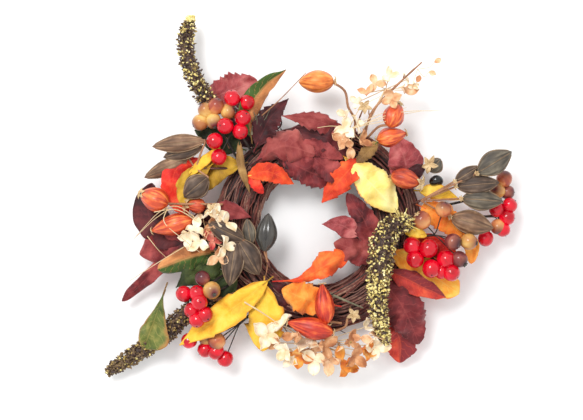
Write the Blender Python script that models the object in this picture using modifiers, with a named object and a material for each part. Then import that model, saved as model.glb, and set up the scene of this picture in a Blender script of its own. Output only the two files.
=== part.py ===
"""A harvest door wreath: twisted vines, with wired picks of leaves, berries, pods and husks.

Metres, +Z out of the wreath's face and +Y towards the top of the door. The wreath is modelled round
its ring's centre, lying on its back, and is set down at the end with its origin at the middle of its
footprint. Places are given as spot(bearing, out, lift): degrees round the ring from +X, millimetres
past the ring's outer edge, and millimetres above its top.
"""

import math

import bmesh
import bpy
import numpy as np
from mathutils import Matrix, Vector

MM = 0.001
GAP = 0.4 * MM

# The ring of vines.
RING_RADIUS = 61.5 * MM
STRAND_COUNT = 6
STRAND_RADIUS = 4.0 * MM
STRAND_TURNS = 2
CORE_RADIUS = 2.5 * MM
BUNDLE_SPREAD = 3.5
BUNDLE_HALF_WIDTH = BUNDLE_SPREAD * STRAND_RADIUS
RING_STEPS = 28

# The wire ties and the hanging eye.
TIE_RADIUS = 0.8 * MM
TIE_CLEARANCE = 0.8 * MM
TIE_STEPS = 18
TIE_BEARINGS = (112.0, 262.0, 348.0)
EYE_LENGTH = 11.0 * MM
EYE_HALF_WIDTH = 5.0 * MM
EYE_WIRE_RADIUS = 0.7 * MM
EYE_STEPS = 16

# The picks.
BERRY_RADIUS = 6.0 * MM
STEM_RADIUS = 1.0 * MM
WIRE_RADIUS = 0.6 * MM
KNOT_RADIUS = 1.6 * MM
LEAF_THICKNESS = 0.6 * MM
LEAF_STEPS = 5
PETAL_RADIUS = 7.0 * MM
PETAL_THICKNESS = 1.6 * MM
POD_FLATNESS = 0.55
SPIKE_RADIUS = 7.5 * MM
HUSK_RADIUS = 7.5 * MM

# Worked out from the above.
BUNDLE_HALF_HEIGHT = CORE_RADIUS + GAP + STRAND_RADIUS
TIE_REACH = STRAND_RADIUS + TIE_CLEARANCE + TIE_RADIUS
RING_MIDDLE = BUNDLE_HALF_HEIGHT + TIE_REACH + TIE_RADIUS
RING_TOP = 2 * RING_MIDDLE
RING_EDGE = RING_RADIUS + BUNDLE_HALF_WIDTH + STRAND_RADIUS

# Name: colour, roughness, metallic.
FINISHES = {
    "vine": ((0.085, 0.032, 0.018), 0.75, 0.0),
    "wire": ((0.05, 0.045, 0.04), 0.45, 0.8),
    "maroon": ((0.13, 0.012, 0.016), 0.7, 0.0),
    "pink": ((0.24, 0.04, 0.05), 0.7, 0.0),
    "red": ((0.52, 0.02, 0.012), 0.6, 0.0),
    "orange": ((0.70, 0.13, 0.015), 0.6, 0.0),
    "yellow": ((0.78, 0.46, 0.03), 0.6, 0.0),
    "cream": ((0.86, 0.62, 0.18), 0.6, 0.0),
    "green": ((0.11, 0.11, 0.025), 0.65, 0.0),
    "berry_red": ((0.66, 0.004, 0.010), 0.12, 0.0),
    "berry_tan": ((0.42, 0.18, 0.06), 0.3, 0.0),
    "pod": ((0.14, 0.11, 0.08), 0.6, 0.0),
    "pod_dark": ((0.03, 0.032, 0.018), 0.5, 0.0),
    "husk": ((0.50, 0.07, 0.015), 0.5, 0.0),
    "petal": ((0.86, 0.70, 0.52), 0.7, 0.0),
    "seed_head": ((0.09, 0.06, 0.03), 0.8, 0.0),
    "twig": ((0.36, 0.20, 0.10), 0.7, 0.0),
}

# Name: seat bearing and out, heading, bend, length, width, lifts at stalk, middle and tip, finish.
LEAVES = {
    "leaf_maroon_top_long": (122, -11, -8, 10, 54, 23, (1, 4, 3), "maroon"),
    "leaf_maroon_top_inner": (106, -17, -48, 0, 40, 26, (8, 9, 2), "maroon"),
    "leaf_maroon_top_outer": (76, -4, 168, 0, 48, 14, (7, 10, 9), "maroon"),
    "leaf_pink_upper_left": (130, -1, 100, 6, 55, 27, (-3, -5, -12), "pink"),
    "leaf_green_upper_left": (122, 2, 84, -38, 52, 14, (5, 7, 12), "green"),
    "leaf_red_left": (148, -4, 210, 10, 52, 26, (3, 3, -1), "red"),
    "leaf_maroon_left": (180, -4, 152, 0, 62, 30, (0, -6, -14), "maroon"),
    "leaf_maroon_tail": (190, -3, 205, 10, 82, 12, (0, -5, -14), "maroon"),
    "leaf_green_folded": (199, -1, 192, -8, 46, 16, (3, 5, 3), "green"),
    "leaf_green_hanging": (204, -3, 200, 19, 88, 12, (2, -2, -17), "green"),
    "leaf_yellow_lower_left": (230, -14, 208, 2, 66, 20, (4, 5, 3), "yellow"),
    "leaf_yellow_lower": (238, -22, 250, 8, 46, 30, (-1, 1, -6), "yellow"),
    "leaf_orange_lower": (279, -10, 153, 0, 42, 20, (1, 4, 2), "orange"),
    "leaf_orange_inner": (304, -34, 172, 14, 52, 17, (1, 1, -2), "orange"),
    "leaf_cream_right": (56, -20, -50, -6, 42, 22, (2, 6, 3), "cream"),
    "leaf_maroon_inner_right": (352, -36, 130, -6, 37, 22, (1, 3, 4), "maroon"),
    "leaf_maroon_right": (30, -9, 60, 10, 29, 22, (-1, 1, 2), "maroon"),
    "leaf_orange_right": (338, -17, -26, -8, 52, 20, (1, 2, -6), "orange"),
    "leaf_maroon_lower_right": (320, -14, -50, -8, 46, 29, (1, 2, -8), "maroon"),
    "leaf_red_lower_right": (306, -6, -68, -10, 46, 25, (-2, -7, -15), "red"),
}

# Name: seat bearing and out, hub bearing, out and lift, then each berry's place from the hub in mm.
RED_BERRIES = {
    "red_berries_upper_left": (
        (131, -6),
        (130, 18, 8),
        ((0, 22, 4), (10, 19, 1), (8, 8, 5), (-6, 1, 6), (5, -3, 4), (-13, -11, 4), (-11, -22, 2)),
    ),
    "red_berries_lower_left": (
        (213, -8),
        (212, 27, 9),
        ((-8, 7, 1), (2, 8, 5), (3, 1, 7), (-2, -4, 3), (7, -8, 5), (2, -12, 4)),
    ),
    "berry_fan_lower_left": (
        (233, -4),
        (231, 14, 2),
        ((-40, -9, -7), (-24, -21, -8), (-18, -19, -4), (-11, -26, -8), (-17, -12, -5), (-24, -11, -7)),
    ),
    "red_berries_centre_right": (
        (346, -12),
        (346, 7, 8),
        ((-14, 8, 4), (-1, 5, 6), (-12, -3, 5), (12, -2, 3), (0, -9, 5), (15, -12, 2), (8, -12, 4)),
    ),
    "red_berries_far_right": (
        (5, -4),
        (4, 57, -4),
        ((8, 7, 0), (7, -2, -1), (-2, 2, 0), (-9, -19, -2), (4, -12, 4)),
    ),
}
TAN_BERRIES = {
    "tan_berries_upper_left": (
        (141, -6),
        (133, 36, 8),
        ((2, 8, 0), (-6, 5, -1), (-10, -5, -2), (1, -4, 0), (10, 1, -3)),
    ),
    "tan_berries_lower_left": (
        (206, -7),
        (207, 12, 12),
        ((-5, 5, 3), (4, -3, 3)),
    ),
    "tan_berries_centre_right": (
        (354, -10),
        (357, 8, 12),
        ((-11, 12, 3), (6, 19, 2), (13, -4, 3), (25, -5, -1), (20, -15, 3)),
    ),
    "tan_berries_far_right": (
        (9, -4),
        (11, 62, -8),
        ((2, 10, 2), (-3, 1, 0), (6, 1, -1), (-3, -26, -5)),
    ),
}

# Name: seat bearing and out, hub bearing, out and lift, then each floret's place from the hub in mm.
BLOSSOMS = {
    "blossoms_left": (
        (186, -9),
        (186, 4, 6),
        ((-16, 0, 2), (-2, 16, 3), (-4, -1, 5), (6, 3, 6), (13, -7, 5), (8, -14, 3)),
    ),
    "blossoms_upper_right": (
        (74, -12),
        (70, -3, 7),
        ((-6, 13, 1), (4, 7, 3), (-5, 3, 4), (-8, -6, 3), (-3, -11, 2), (6, -6, 4)),
    ),
    "blossoms_twig": (
        (65, -5),
        (64, 36, 7),
        ((-8, 5, 3), (2, 11, 3), (13, -2, 2), (9, -10, 10), (17, 8, 1), (-14, -3, 2), (-21, -9, 0)),
    ),
    "blossoms_bottom": (
        (268, -9),
        (268, 8, 5),
        (
            (-25, 15, 2),
            (-37, 9, 1),
            (-20, -3, 4),
            (-14, 6, 0),
            (-6, 0, 2),
            (-2, -10, 3),
            (8, -1, 5),
            (10, -12, 2),
            (18, -7, 4),
            (28, -5, 3),
            (25, 4, 1),
            (37, -1, 0),
        ),
    ),
}

# Name: seat bearing and out, hub bearing, out and lift, then each pod's base, tip and width, finish.
PODS = {
    "pods_left": (
        (141, -8),
        (154, 22, 9),
        (
            ((143, 29, 12), (154, 59, 6), 11),
            ((154, 34, 5), (163, 56, -4), 10),
            ((155, 12, 9), (165, 24, 8), 9),
        ),
        "pod",
    ),
    "pods_centre": (
        (196, -14),
        (188, -19, 11),
        (
            ((182, -17, 12), (177, 1, 15), 12),
            ((194, -17, 12), (215, 0, 13), 14),
            ((198, -21, 10), (220, -23, 6), 15),
        ),
        "pod",
    ),
    "pod_dark": (
        (222, -32),
        (214, -34, 4),
        (((205, -35, 6), (164, -38, 7), 13),),
        "pod_dark",
    ),
    "pods_right": (
        (14, -6),
        (15, 0, 7),
        (
            ((19, 47, 12), (22, 75, 10), 14),
            ((17, 29, 10), (14, 59, 12), 11),
            ((12, 31, 8), (9, 60, 10), 13),
            ((4, 20, 7), (0, 52, 8), 14),
        ),
        "pod",
    ),
}

# Name: knots of the stem, then of the husk, each (bearing, out, lift).
HUSKS = {
    "husk_top_drooping": (((68, -8, 1.6), (71, 6, 3), (76, 14, 6), (79, 25, 7)), ((84, 31, 5), (96, 31, 2))),
    "husk_upper_right_outer": (((61, -1, 1.6), (59, 9, 7)), ((55, 14, 10), (57, 32, 3))),
    "husk_upper_right_inner": (((54, -10, 3), (54, -4, 3)), ((55, 1, 3), (47, 18, 1))),
    "husk_right": (((36, -8, 2), (36, -9, 8)), ((34, -9, 12), (25, 2, 12))),
    "husk_left_upper": (((166, -6, 8), (169, 15, 11)), ((171, 35, 9), (170, 56, 4))),
    "husk_left_lower": (((180, -8, 2), (179, 6, 3)), ((177, 20, 8), (181, 48, 3))),
    "husk_bottom_open": (((284, -6, 5), (280, -8, 7)), ((275, -12, 14), (274, -36, 12))),
    "husk_bottom": (((288, -8, 4), (285, -3, 9)), ((280, 1, 14), (254, -6, 14))),
}

# Name: knots (bearing, out, lift) from the stem's foot to the tip.
SPIKES = {
    "spike_upper_left": (
        (136, -8, 2), (138, 20, 1), (137, 42, -3), (131, 62, -3), (127, 80, -4), (124, 96, -6), (122, 106, -7)
    ),
    "spike_lower_left": (
        (220, -8, 3), (213, 20, 1), (212, 40, -2), (214, 64, -8), (215, 82, -11), (215, 99, -13), (215, 114, -14)
    ),
    "spike_right": (
        (10, -14, 11), (2, -26, 20), (345, -31, 20), (329, -27, 18), (311, -12, 17), (305, 2, 12), (301, 18, 4)
    ),
}

TWIG = ((63, -5, 5), (65, 15, 9), (63, 30, 14), (60, 50, 14), (58, 66, 12))


def spot(bearing, out, lift):
    """The point at a bearing, out past the ring's outer edge and lift above its top."""
    angle = math.radians(bearing)
    radius = RING_EDGE + out * MM
    return Vector((radius * math.cos(angle), radius * math.sin(angle), RING_TOP + lift * MM))


def new_collection(name):
    collection = bpy.data.collections.new(name)
    bpy.context.scene.collection.children.link(collection)
    return collection


def finish(name):
    """The material of that finish, made once."""
    if name in bpy.data.materials:
        return bpy.data.materials[name]
    colour, roughness, metallic = FINISHES[name]
    material = bpy.data.materials.new(name)
    material.use_nodes = True
    shader = material.node_tree.nodes["Principled BSDF"]
    shader.inputs["Base Color"].default_value = (*colour, 1.0)
    shader.inputs["Roughness"].default_value = roughness
    shader.inputs["Metallic"].default_value = metallic
    return material


def add(name, mesh, finish_name, collection, origin=None):
    """An object of this mesh, whose own origin is at the given point."""
    origin = origin or Vector()
    mesh.transform(Matrix.Translation(-origin))
    mesh.shade_smooth()
    mesh.materials.append(finish(finish_name))
    piece = bpy.data.objects.new(name, mesh)
    piece.location = origin
    collection.objects.link(piece)
    return piece


def helper(name, mesh):
    """A hidden piece that a Boolean joins to a part."""
    piece = bpy.data.objects.new(name, mesh)
    piece.hide_render = True
    piece.display_type = "WIRE"
    return piece


def mesh_of(bm, name):
    mesh = bpy.data.meshes.new(name)
    bm.to_mesh(mesh)
    bm.free()
    return mesh


def closed_wire(name, points, radius, sides, finish_name, origin=None):
    """A closed loop of round wire through the points."""
    curve = bpy.data.curves.new(name, "CURVE")
    curve.dimensions = "3D"
    curve.bevel_depth = radius
    curve.bevel_resolution = sides // 2 - 2
    spline = curve.splines.new("POLY")
    spline.points.add(len(points) - 1)
    origin = origin or Vector()
    for point, place in zip(spline.points, points):
        point.co = (*(Vector(place) - origin), 1.0)
    spline.use_cyclic_u = True
    spline.use_smooth = True
    curve.materials.append(finish(finish_name))
    piece = bpy.data.objects.new(name, curve)
    piece.location = origin
    PARTS.objects.link(piece)
    return piece


def bundle_place(share):
    """The point that share of the way round the bundle's oval, as (outward, up) from its middle."""
    turn = np.linspace(0.0, 2.0 * math.pi, 721)
    oval = np.stack([BUNDLE_HALF_WIDTH * np.cos(turn), BUNDLE_HALF_HEIGHT * np.sin(turn)], axis=1)
    steps = np.linalg.norm(np.diff(oval, axis=0), axis=1)
    length = np.concatenate([[0.0], np.cumsum(steps)])
    wanted = (share % 1.0) * length[-1]
    return np.interp(wanted, length, oval[:, 0]), np.interp(wanted, length, oval[:, 1])


def ring_point(angle, outward, up):
    radius = RING_RADIUS + outward
    return Vector((radius * math.cos(angle), radius * math.sin(angle), RING_MIDDLE + up))


def make_vines():
    """The core vine and the strands twisted round it."""
    angles = [2.0 * math.pi * step / RING_STEPS for step in range(RING_STEPS)]
    core = [ring_point(angle, 0.0, 0.0) for angle in angles]
    closed_wire("vine_core", core, CORE_RADIUS, 6, "vine")
    for strand in range(STRAND_COUNT):
        points = []
        for angle in angles:
            share = strand / STRAND_COUNT + STRAND_TURNS * angle / (2.0 * math.pi)
            points.append(ring_point(angle, *bundle_place(share)))
        closed_wire(f"vine_strand_{strand + 1}", points, STRAND_RADIUS, 6, "vine")


def tie_points(bearing, bulge):
    """An oval of wire round the bundle, standing off by bulge at its outer end."""
    angle = math.radians(bearing)
    points = []
    for step in range(TIE_STEPS):
        turn = 2.0 * math.pi * step / TIE_STEPS
        outward = (BUNDLE_HALF_WIDTH + TIE_REACH) * math.cos(turn)
        outward += bulge * max(0.0, math.cos(turn)) ** 4
        up = (BUNDLE_HALF_HEIGHT + TIE_REACH) * math.sin(turn)
        points.append(ring_point(angle, outward, up))
    return points


def make_ties_and_eye():
    """Three wire ties, and the hanging eye, which swings in the bulge of the first one."""
    room = 2 * EYE_WIRE_RADIUS + 2 * GAP
    for count, bearing in enumerate(TIE_BEARINGS):
        points = tie_points(bearing, room if count == 0 else 0.0)
        closed_wire(f"wire_tie_{count + 1}", points, TIE_RADIUS, 6, "wire")
    angle = math.radians(TIE_BEARINGS[0])
    outward = Vector((math.cos(angle), math.sin(angle), 0.0))
    across = Vector((-math.sin(angle), math.cos(angle), 0.0))
    inner = BUNDLE_HALF_WIDTH + TIE_REACH + room - TIE_RADIUS - GAP - EYE_WIRE_RADIUS
    hinge = ring_point(angle, inner, 0.0)
    middle = hinge + outward * EYE_LENGTH / 2.0
    points = []
    for step in range(EYE_STEPS):
        turn = 2.0 * math.pi * step / EYE_STEPS
        points.append(
            middle
            - outward * (EYE_LENGTH / 2.0) * math.cos(turn)
            + across * EYE_HALF_WIDTH * math.sin(turn)
        )
    closed_wire("hanging_eye", points, EYE_WIRE_RADIUS, 6, "wire", hinge)


def smooth_path(knots, shares):
    """Places and directions at those shares of the length of a smooth curve through the knots."""
    knots = [Vector(knot) for knot in knots]
    ends = [2 * knots[0] - knots[1], *knots, 2 * knots[-1] - knots[-2]]
    dense = []
    for before, start, stop, after in zip(ends, ends[1:], ends[2:], ends[3:]):
        for step in range(16):
            t = step / 16
            dense.append(
                0.5
                * (
                    2 * start
                    + (stop - before) * t
                    + (2 * before - 5 * start + 4 * stop - after) * t**2
                    + (3 * start - before - 3 * stop + after) * t**3
                )
            )
    dense.append(knots[-1])
    dense = np.array([tuple(point) for point in dense])
    steps = np.linalg.norm(np.diff(dense, axis=0), axis=1)
    length = np.concatenate([[0.0], np.cumsum(steps)])

    def at(share):
        wanted = min(max(share, 0.0), 1.0) * length[-1]
        return Vector([float(np.interp(wanted, length, dense[:, axis])) for axis in range(3)])

    return [(at(share), (at(share + 0.02) - at(share - 0.02)).normalized()) for share in shares]


def spindle(knots, outline, sides, flatness=1.0):
    """A round body along a smooth curve: outline is (share of the length, radius), ring by ring."""
    rings = len(outline) + 1
    shares = [outline[0][0], *[share for share, _ in outline], 1.0]
    radii = [0.0, *[radius for _, radius in outline], 0.0]
    frames = smooth_path(knots, shares)
    bm = bmesh.new()
    bmesh.ops.create_uvsphere(bm, u_segments=sides, v_segments=rings, radius=1.0)
    for vertex in bm.verts:
        ring = round(math.acos(max(-1.0, min(1.0, vertex.co.z))) / math.pi * rings)
        turn = math.atan2(vertex.co.y, vertex.co.x)
        place, along = frames[ring]
        across = along.cross(Vector((0, 0, 1)))
        across = across.normalized() if across.length > 0.05 else Vector((1, 0, 0))
        up = across.cross(along).normalized()
        vertex.co = place + radii[ring] * (
            math.cos(turn) * across + flatness * math.sin(turn) * up
        )
    return mesh_of(bm, "spindle")


def rod(start, end, radius, sides=4):
    """A straight round wire."""
    return spindle((start, end), ((0.0, radius), (0.999, radius)), sides)


def ball(centre, radius, sides=7, rings=5, scale=(1.0, 1.0, 1.0), tilt=None):
    bm = bmesh.new()
    bmesh.ops.create_uvsphere(bm, u_segments=sides, v_segments=rings, radius=radius)
    bmesh.ops.scale(bm, vec=scale, verts=bm.verts)
    if tilt:
        bmesh.ops.rotate(bm, matrix=tilt, verts=bm.verts)
    bmesh.ops.translate(bm, vec=centre, verts=bm.verts)
    return mesh_of(bm, "ball")


def foot(seat):
    """The foot of a stem: just above the ties, on the ring."""
    return spot(seat[0], seat[1], STEM_RADIUS / MM + GAP / MM)


def wired_pick(name, seat, hub, ends, finish_name, origin=None):
    """A pick: a stem from its seat to a knot at its hub, with the end pieces wired to the knot."""
    start = foot(seat)
    knot = spot(*hub)
    joined = bpy.data.collections.new(name + "_wired")
    HELPERS.children.link(joined)
    for count, (mesh, reach) in enumerate(ends):
        joined.objects.link(helper(f"{name}_end_{count}", mesh))
        if reach is not None:
            wire = rod(knot, reach, WIRE_RADIUS)
            joined.objects.link(helper(f"{name}_wire_{count}", wire))
    joined.objects.link(helper(f"{name}_knot", ball(knot, KNOT_RADIUS, 6, 4)))
    stem = add(name, rod(start, knot, STEM_RADIUS, 5), finish_name, PARTS, origin)
    union = stem.modifiers.new("wired", "BOOLEAN")
    union.operation = "UNION"
    union.operand_type = "COLLECTION"
    union.collection = joined
    return stem


def berry_pick(name, seat, hub, offsets, finish_name, origin=None):
    knot = spot(*hub)
    ends = []
    for offset in offsets:
        centre = knot + Vector(offset) * MM
        ends.append((ball(centre, BERRY_RADIUS), centre))
    return wired_pick(name, seat, hub, ends, finish_name, origin)


def blossom_pick(name, seat, hub, offsets, origin=None):
    """Florets as shallow discs, each leaning away from the hub."""
    knot = spot(*hub)
    flat = (1.0, 1.0, PETAL_THICKNESS / (2 * PETAL_RADIUS))
    ends = []
    for offset in offsets:
        centre = knot + Vector(offset) * MM
        lean = Vector((offset[0], offset[1], 0.0))
        tilt = Matrix.Rotation(math.radians(20), 3, Vector((-lean.y, lean.x, 0.0)).normalized())
        ends.append((ball(centre, PETAL_RADIUS, 6, 3, flat, tilt), centre))
    return wired_pick(name, seat, hub, ends, "petal", origin)


def pod_pick(name, seat, hub, pods, finish_name, origin=None):
    knot = spot(*hub)
    ends = []
    for base, tip, width in pods:
        half = width * MM / 2.0
        outline = ((0.03, half * 0.3), (0.22, half * 0.85), (0.5, half), (0.78, half * 0.7), (0.95, half * 0.2))
        mesh = spindle((spot(*base), spot(*tip)), outline, 6, POD_FLATNESS)
        inside = spot(*base).lerp(spot(*tip), 0.2)
        ends.append((mesh, inside))
    return wired_pick(name, seat, hub, ends, finish_name, origin)


def husk(name, stem, body, origin=None):
    """A rose hip or husk on its stem, in one turned shape."""
    knots = [spot(*knot) for knot in stem + body]
    lengths = [(b - a).length for a, b in zip(knots, knots[1:])]
    start = sum(lengths[: len(stem)]) / sum(lengths)
    span = 1.0 - start
    outline = [(start * step / 3, STEM_RADIUS) for step in range(3)]
    outline.append((start, STEM_RADIUS * 1.2))
    for share, size in ((0.06, 0.5), (0.25, 0.9), (0.5, 1.0), (0.75, 0.75), (0.9, 0.4), (0.97, 0.3)):
        outline.append((start + span * share, HUSK_RADIUS * size))
    return add(name, spindle(knots, outline, 7), "husk", PARTS, origin)


def spike(name, knots, origin=None):
    """A seed head: a bare stem, then a full body that tapers to its tip."""
    stout = 1.5 if name == "spike_right" else 1.0
    bare = 0.16 if name == "spike_right" else 0.5
    outline = [(0.0, STEM_RADIUS), (bare * 0.5, STEM_RADIUS), (bare, STEM_RADIUS * 1.5)]
    for share, size in ((0.05, 0.8), (0.25, 1.0), (0.45, 0.98), (0.65, 0.85), (0.85, 0.65), (0.97, 0.35)):
        taper = 1.0 + (stout - 1.0) * max(0.0, 1.0 - share / 0.8)
        outline.append((bare + (1.0 - bare) * share, SPIKE_RADIUS * size * taper))
    return add(name, spindle([spot(*knot) for knot in knots], outline, 9), "seed_head", PARTS, origin)


def leaf(name, bearing, out, heading, bend, length, width, lifts, finish_name):
    """A leaf: a folded blade that narrows to a stalk, laid along a curve from its seat."""
    base = spot(bearing, out, lifts[0])
    knots = [base]
    for share, lift in ((0.5, lifts[1]), (1.0, lifts[2])):
        turned = math.radians(heading + bend * share)
        step = Vector((math.cos(turned), math.sin(turned), 0.0)) * length * MM * share
        knots.append(Vector((base.x + step.x, base.y + step.y, RING_TOP + lift * MM)))
    bm = bmesh.new()
    bmesh.ops.create_grid(bm, x_segments=LEAF_STEPS, y_segments=2, size=1.0)
    shares = [step / LEAF_STEPS for step in range(LEAF_STEPS + 1)]
    frames = smooth_path(knots, shares)
    for vertex in bm.verts:
        step = round((vertex.co.x + 1.0) / 2.0 * LEAF_STEPS)
        side = vertex.co.y
        place, along = frames[step]
        across = Vector((0, 0, 1)).cross(along).normalized()
        up = along.cross(across).normalized()
        half = width * MM / 2.0 * max(0.08, math.sin(math.pi * shares[step] ** 0.8))
        vertex.co = place + half * (side * across + 0.22 * abs(side) * up)
    piece = add(name, mesh_of(bm, name), finish_name, PARTS)
    skin = piece.modifiers.new("thickness", "SOLIDIFY")
    skin.thickness = LEAF_THICKNESS
    skin.offset = 0.0
    return piece


def make_picks():
    """Every pick. Those that bend on their stems have their origins on the hinge."""
    for name, (bearing, out, heading, bend, length, width, lifts, colour) in LEAVES.items():
        leaf(name, bearing, out, heading, bend, length, width, lifts, colour)
    right_hinge = spot(12, 0, 0)
    twig_hinge = spot(67, -6, 0)
    hinges = {
        "berry_fan_lower_left": spot(234, 0, 0),
        "red_berries_far_right": right_hinge,
        "tan_berries_far_right": right_hinge,
        "pods_right": right_hinge,
        "blossoms_twig": twig_hinge,
    }
    for name, (seat, hub, offsets) in RED_BERRIES.items():
        berry_pick(name, seat, hub, offsets, "berry_red", hinges.get(name))
    for name, (seat, hub, offsets) in TAN_BERRIES.items():
        berry_pick(name, seat, hub, offsets, "berry_tan", hinges.get(name))
    for name, (seat, hub, offsets) in BLOSSOMS.items():
        blossom_pick(name, seat, hub, offsets, hinges.get(name))
    for name, (seat, hub, pods, colour) in PODS.items():
        pod_pick(name, seat, hub, pods, colour, hinges.get(name))
    for name, (stem, body) in HUSKS.items():
        origin = spot(*stem[0]) if name == "husk_top_drooping" else None
        husk(name, stem, body, origin)
    for name, knots in SPIKES.items():
        spike(name, knots, spot(*knots[0]))
    knots = [spot(*knot) for knot in TWIG]
    outline = [(step / 5, STEM_RADIUS * (1.2 - 0.1 * step)) for step in range(6)]
    add("twig_upper_right", spindle(knots, outline[:5] + [(0.99, 0.5 * MM)], 6), "twig", PARTS, twig_hinge)


def set_down():
    """Moves everything so that the origin is at the middle of the footprint, at the lowest point."""
    bpy.context.view_layer.update()
    graph = bpy.context.evaluated_depsgraph_get()
    corners = []
    for piece in PARTS.objects:
        shape = piece.evaluated_get(graph)
        mesh = shape.to_mesh()
        corners.extend(shape.matrix_world @ vertex.co for vertex in mesh.vertices)
        shape.to_mesh_clear()
    corners = np.array([tuple(corner) for corner in corners])
    low, high = corners.min(axis=0), corners.max(axis=0)
    shift = Vector(((low[0] + high[0]) / 2.0, (low[1] + high[1]) / 2.0, low[2]))
    for piece in [*PARTS.objects, *HELPERS.all_objects]:
        piece.location = piece.location - shift


for leftover in list(bpy.data.objects):
    bpy.data.objects.remove(leftover)
PARTS = new_collection("harvest_wreath")
HELPERS = new_collection("helpers")
make_vines()
make_ties_and_eye()
make_picks()
set_down()
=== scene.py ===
"""The looks of a harvest door wreath: twisted vines, leaves, berries, pods, husks and seed heads.

Metres in Blender, millimetres in the tables. A place is (x, y, lift): across and up the wreath from
the middle of its ring, and above the top of its ring. ring() takes (bearing, out, lift) instead.
"""

import math

import bpy
import numpy as np
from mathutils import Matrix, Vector


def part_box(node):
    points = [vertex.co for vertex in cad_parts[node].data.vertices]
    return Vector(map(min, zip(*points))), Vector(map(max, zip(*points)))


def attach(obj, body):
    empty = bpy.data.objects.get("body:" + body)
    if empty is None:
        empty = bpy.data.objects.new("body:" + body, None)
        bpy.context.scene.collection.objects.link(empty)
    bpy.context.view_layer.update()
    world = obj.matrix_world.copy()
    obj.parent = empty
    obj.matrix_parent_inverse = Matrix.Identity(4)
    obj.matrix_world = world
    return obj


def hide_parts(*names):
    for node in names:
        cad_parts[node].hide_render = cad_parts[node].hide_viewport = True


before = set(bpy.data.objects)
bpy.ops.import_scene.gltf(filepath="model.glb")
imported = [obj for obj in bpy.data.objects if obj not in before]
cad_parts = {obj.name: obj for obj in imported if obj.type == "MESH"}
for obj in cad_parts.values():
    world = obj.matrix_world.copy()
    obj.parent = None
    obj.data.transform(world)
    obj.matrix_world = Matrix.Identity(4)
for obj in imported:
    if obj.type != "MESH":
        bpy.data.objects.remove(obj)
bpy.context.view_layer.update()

MM = 0.001
UP = np.array([0.0, 0.0, 1.0])
CORE_LOW, CORE_HIGH = (np.array(corner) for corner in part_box("vine_core"))
MIDDLE = (CORE_LOW + CORE_HIGH) / 2.0
RING_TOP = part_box("wire_tie_1")[1][2]
STRAND_BOXES = [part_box(f"vine_strand_{number}") for number in range(1, 7)]
RING_EDGE = max(high[0] for _, high in STRAND_BOXES) - MIDDLE[0]
RING_RADIUS = 61.5 * MM
BUNDLE_HALF_WIDTH = 13.8 * MM
BUNDLE_HALF_HEIGHT = 6.9 * MM
STRAND_RADIUS = 4.0 * MM
HALF_WIDTH = BUNDLE_HALF_WIDTH + STRAND_RADIUS
HALF_HEIGHT = BUNDLE_HALF_HEIGHT + STRAND_RADIUS


# ---- Camera, floor and light ------------------------------------------------------------------

def add_camera():
    data = bpy.data.cameras.new("camera")
    data.lens = 85.0
    data.sensor_width = 36.0
    camera = bpy.data.objects.new("camera", data)
    camera.location = (-0.0158, -0.0091, 1.062)
    bpy.context.scene.collection.objects.link(camera)
    bpy.context.scene.camera = camera


def add_floor():
    mesh = bpy.data.meshes.new("floor")
    reach = 6.0
    mesh.from_pydata(
        [(-reach, -reach, 0), (reach, -reach, 0), (reach, reach, 0), (-reach, reach, 0)],
        [],
        [(0, 1, 2, 3)],
    )
    floor = bpy.data.objects.new("floor", mesh)
    material = bpy.data.materials.new("floor")
    material.use_nodes = True
    shader = material.node_tree.nodes["Principled BSDF"]
    shader.inputs["Base Color"].default_value = (0.93, 0.93, 0.93, 1.0)
    shader.inputs["Roughness"].default_value = 0.9
    mesh.materials.append(material)
    bpy.context.scene.collection.objects.link(floor)


def add_light(name, place, power, size):
    data = bpy.data.lights.new(name, "AREA")
    data.energy = power
    data.shape = "DISK"
    data.size = size
    lamp = bpy.data.objects.new(name, data)
    lamp.location = place
    direction = -Vector(place)
    lamp.rotation_euler = direction.to_track_quat("-Z", "Y").to_euler()
    bpy.context.scene.collection.objects.link(lamp)


def add_world():
    world = bpy.data.worlds.new("studio")
    world.use_nodes = True
    background = world.node_tree.nodes["Background"]
    background.inputs["Color"].default_value = (1.0, 1.0, 1.0, 1.0)
    background.inputs["Strength"].default_value = 1.03
    bpy.context.scene.world = world
    bpy.context.scene.view_settings.view_transform = "Standard"


# ---- Places and curves ------------------------------------------------------------------------

def at(x, y, lift):
    return np.array([MIDDLE[0] + x * MM, MIDDLE[1] + y * MM, RING_TOP + lift * MM])


def ring(bearing, out, lift):
    """A place by its bearing round the ring, out past the ring's edge and lift above its top."""
    angle = math.radians(bearing)
    radius = RING_EDGE / MM + out
    return at(radius * math.cos(angle), radius * math.sin(angle), lift)


WOBBLE_WAVES = 4


def wobble(dice, shares, size, start=1.0):
    """A smooth random series of about that size over the shares."""
    total = np.zeros_like(shares)
    for wave in range(WOBBLE_WAVES):
        phase = dice.uniform(0.0, 2.0 * math.pi)
        pace = start * (1.0 + wave * dice.uniform(0.8, 1.3))
        total += np.sin(2.0 * math.pi * pace * shares + phase) / (1.0 + 0.6 * wave)
    return total * size / 1.6


def path(knots, count):
    """That many points at equal steps along a smooth curve through the knots."""
    knots = np.array(knots, float)
    ends = np.vstack([2 * knots[0] - knots[1], knots, 2 * knots[-1] - knots[-2]])
    dense = []
    for before, start, stop, after in zip(ends, ends[1:], ends[2:], ends[3:]):
        for t in np.arange(24) / 24.0:
            dense.append(
                0.5
                * (
                    2 * start
                    + (stop - before) * t
                    + (2 * before - 5 * start + 4 * stop - after) * t**2
                    + (3 * start - before - 3 * stop + after) * t**3
                )
            )
    dense = np.array([*dense, knots[-1]])
    steps = np.linalg.norm(np.diff(dense, axis=0), axis=1)
    length = np.concatenate([[0.0], np.cumsum(steps)])
    wanted = np.linspace(0.0, length[-1], count)
    return np.stack([np.interp(wanted, length, dense[:, axis]) for axis in range(3)], axis=1)


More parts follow.
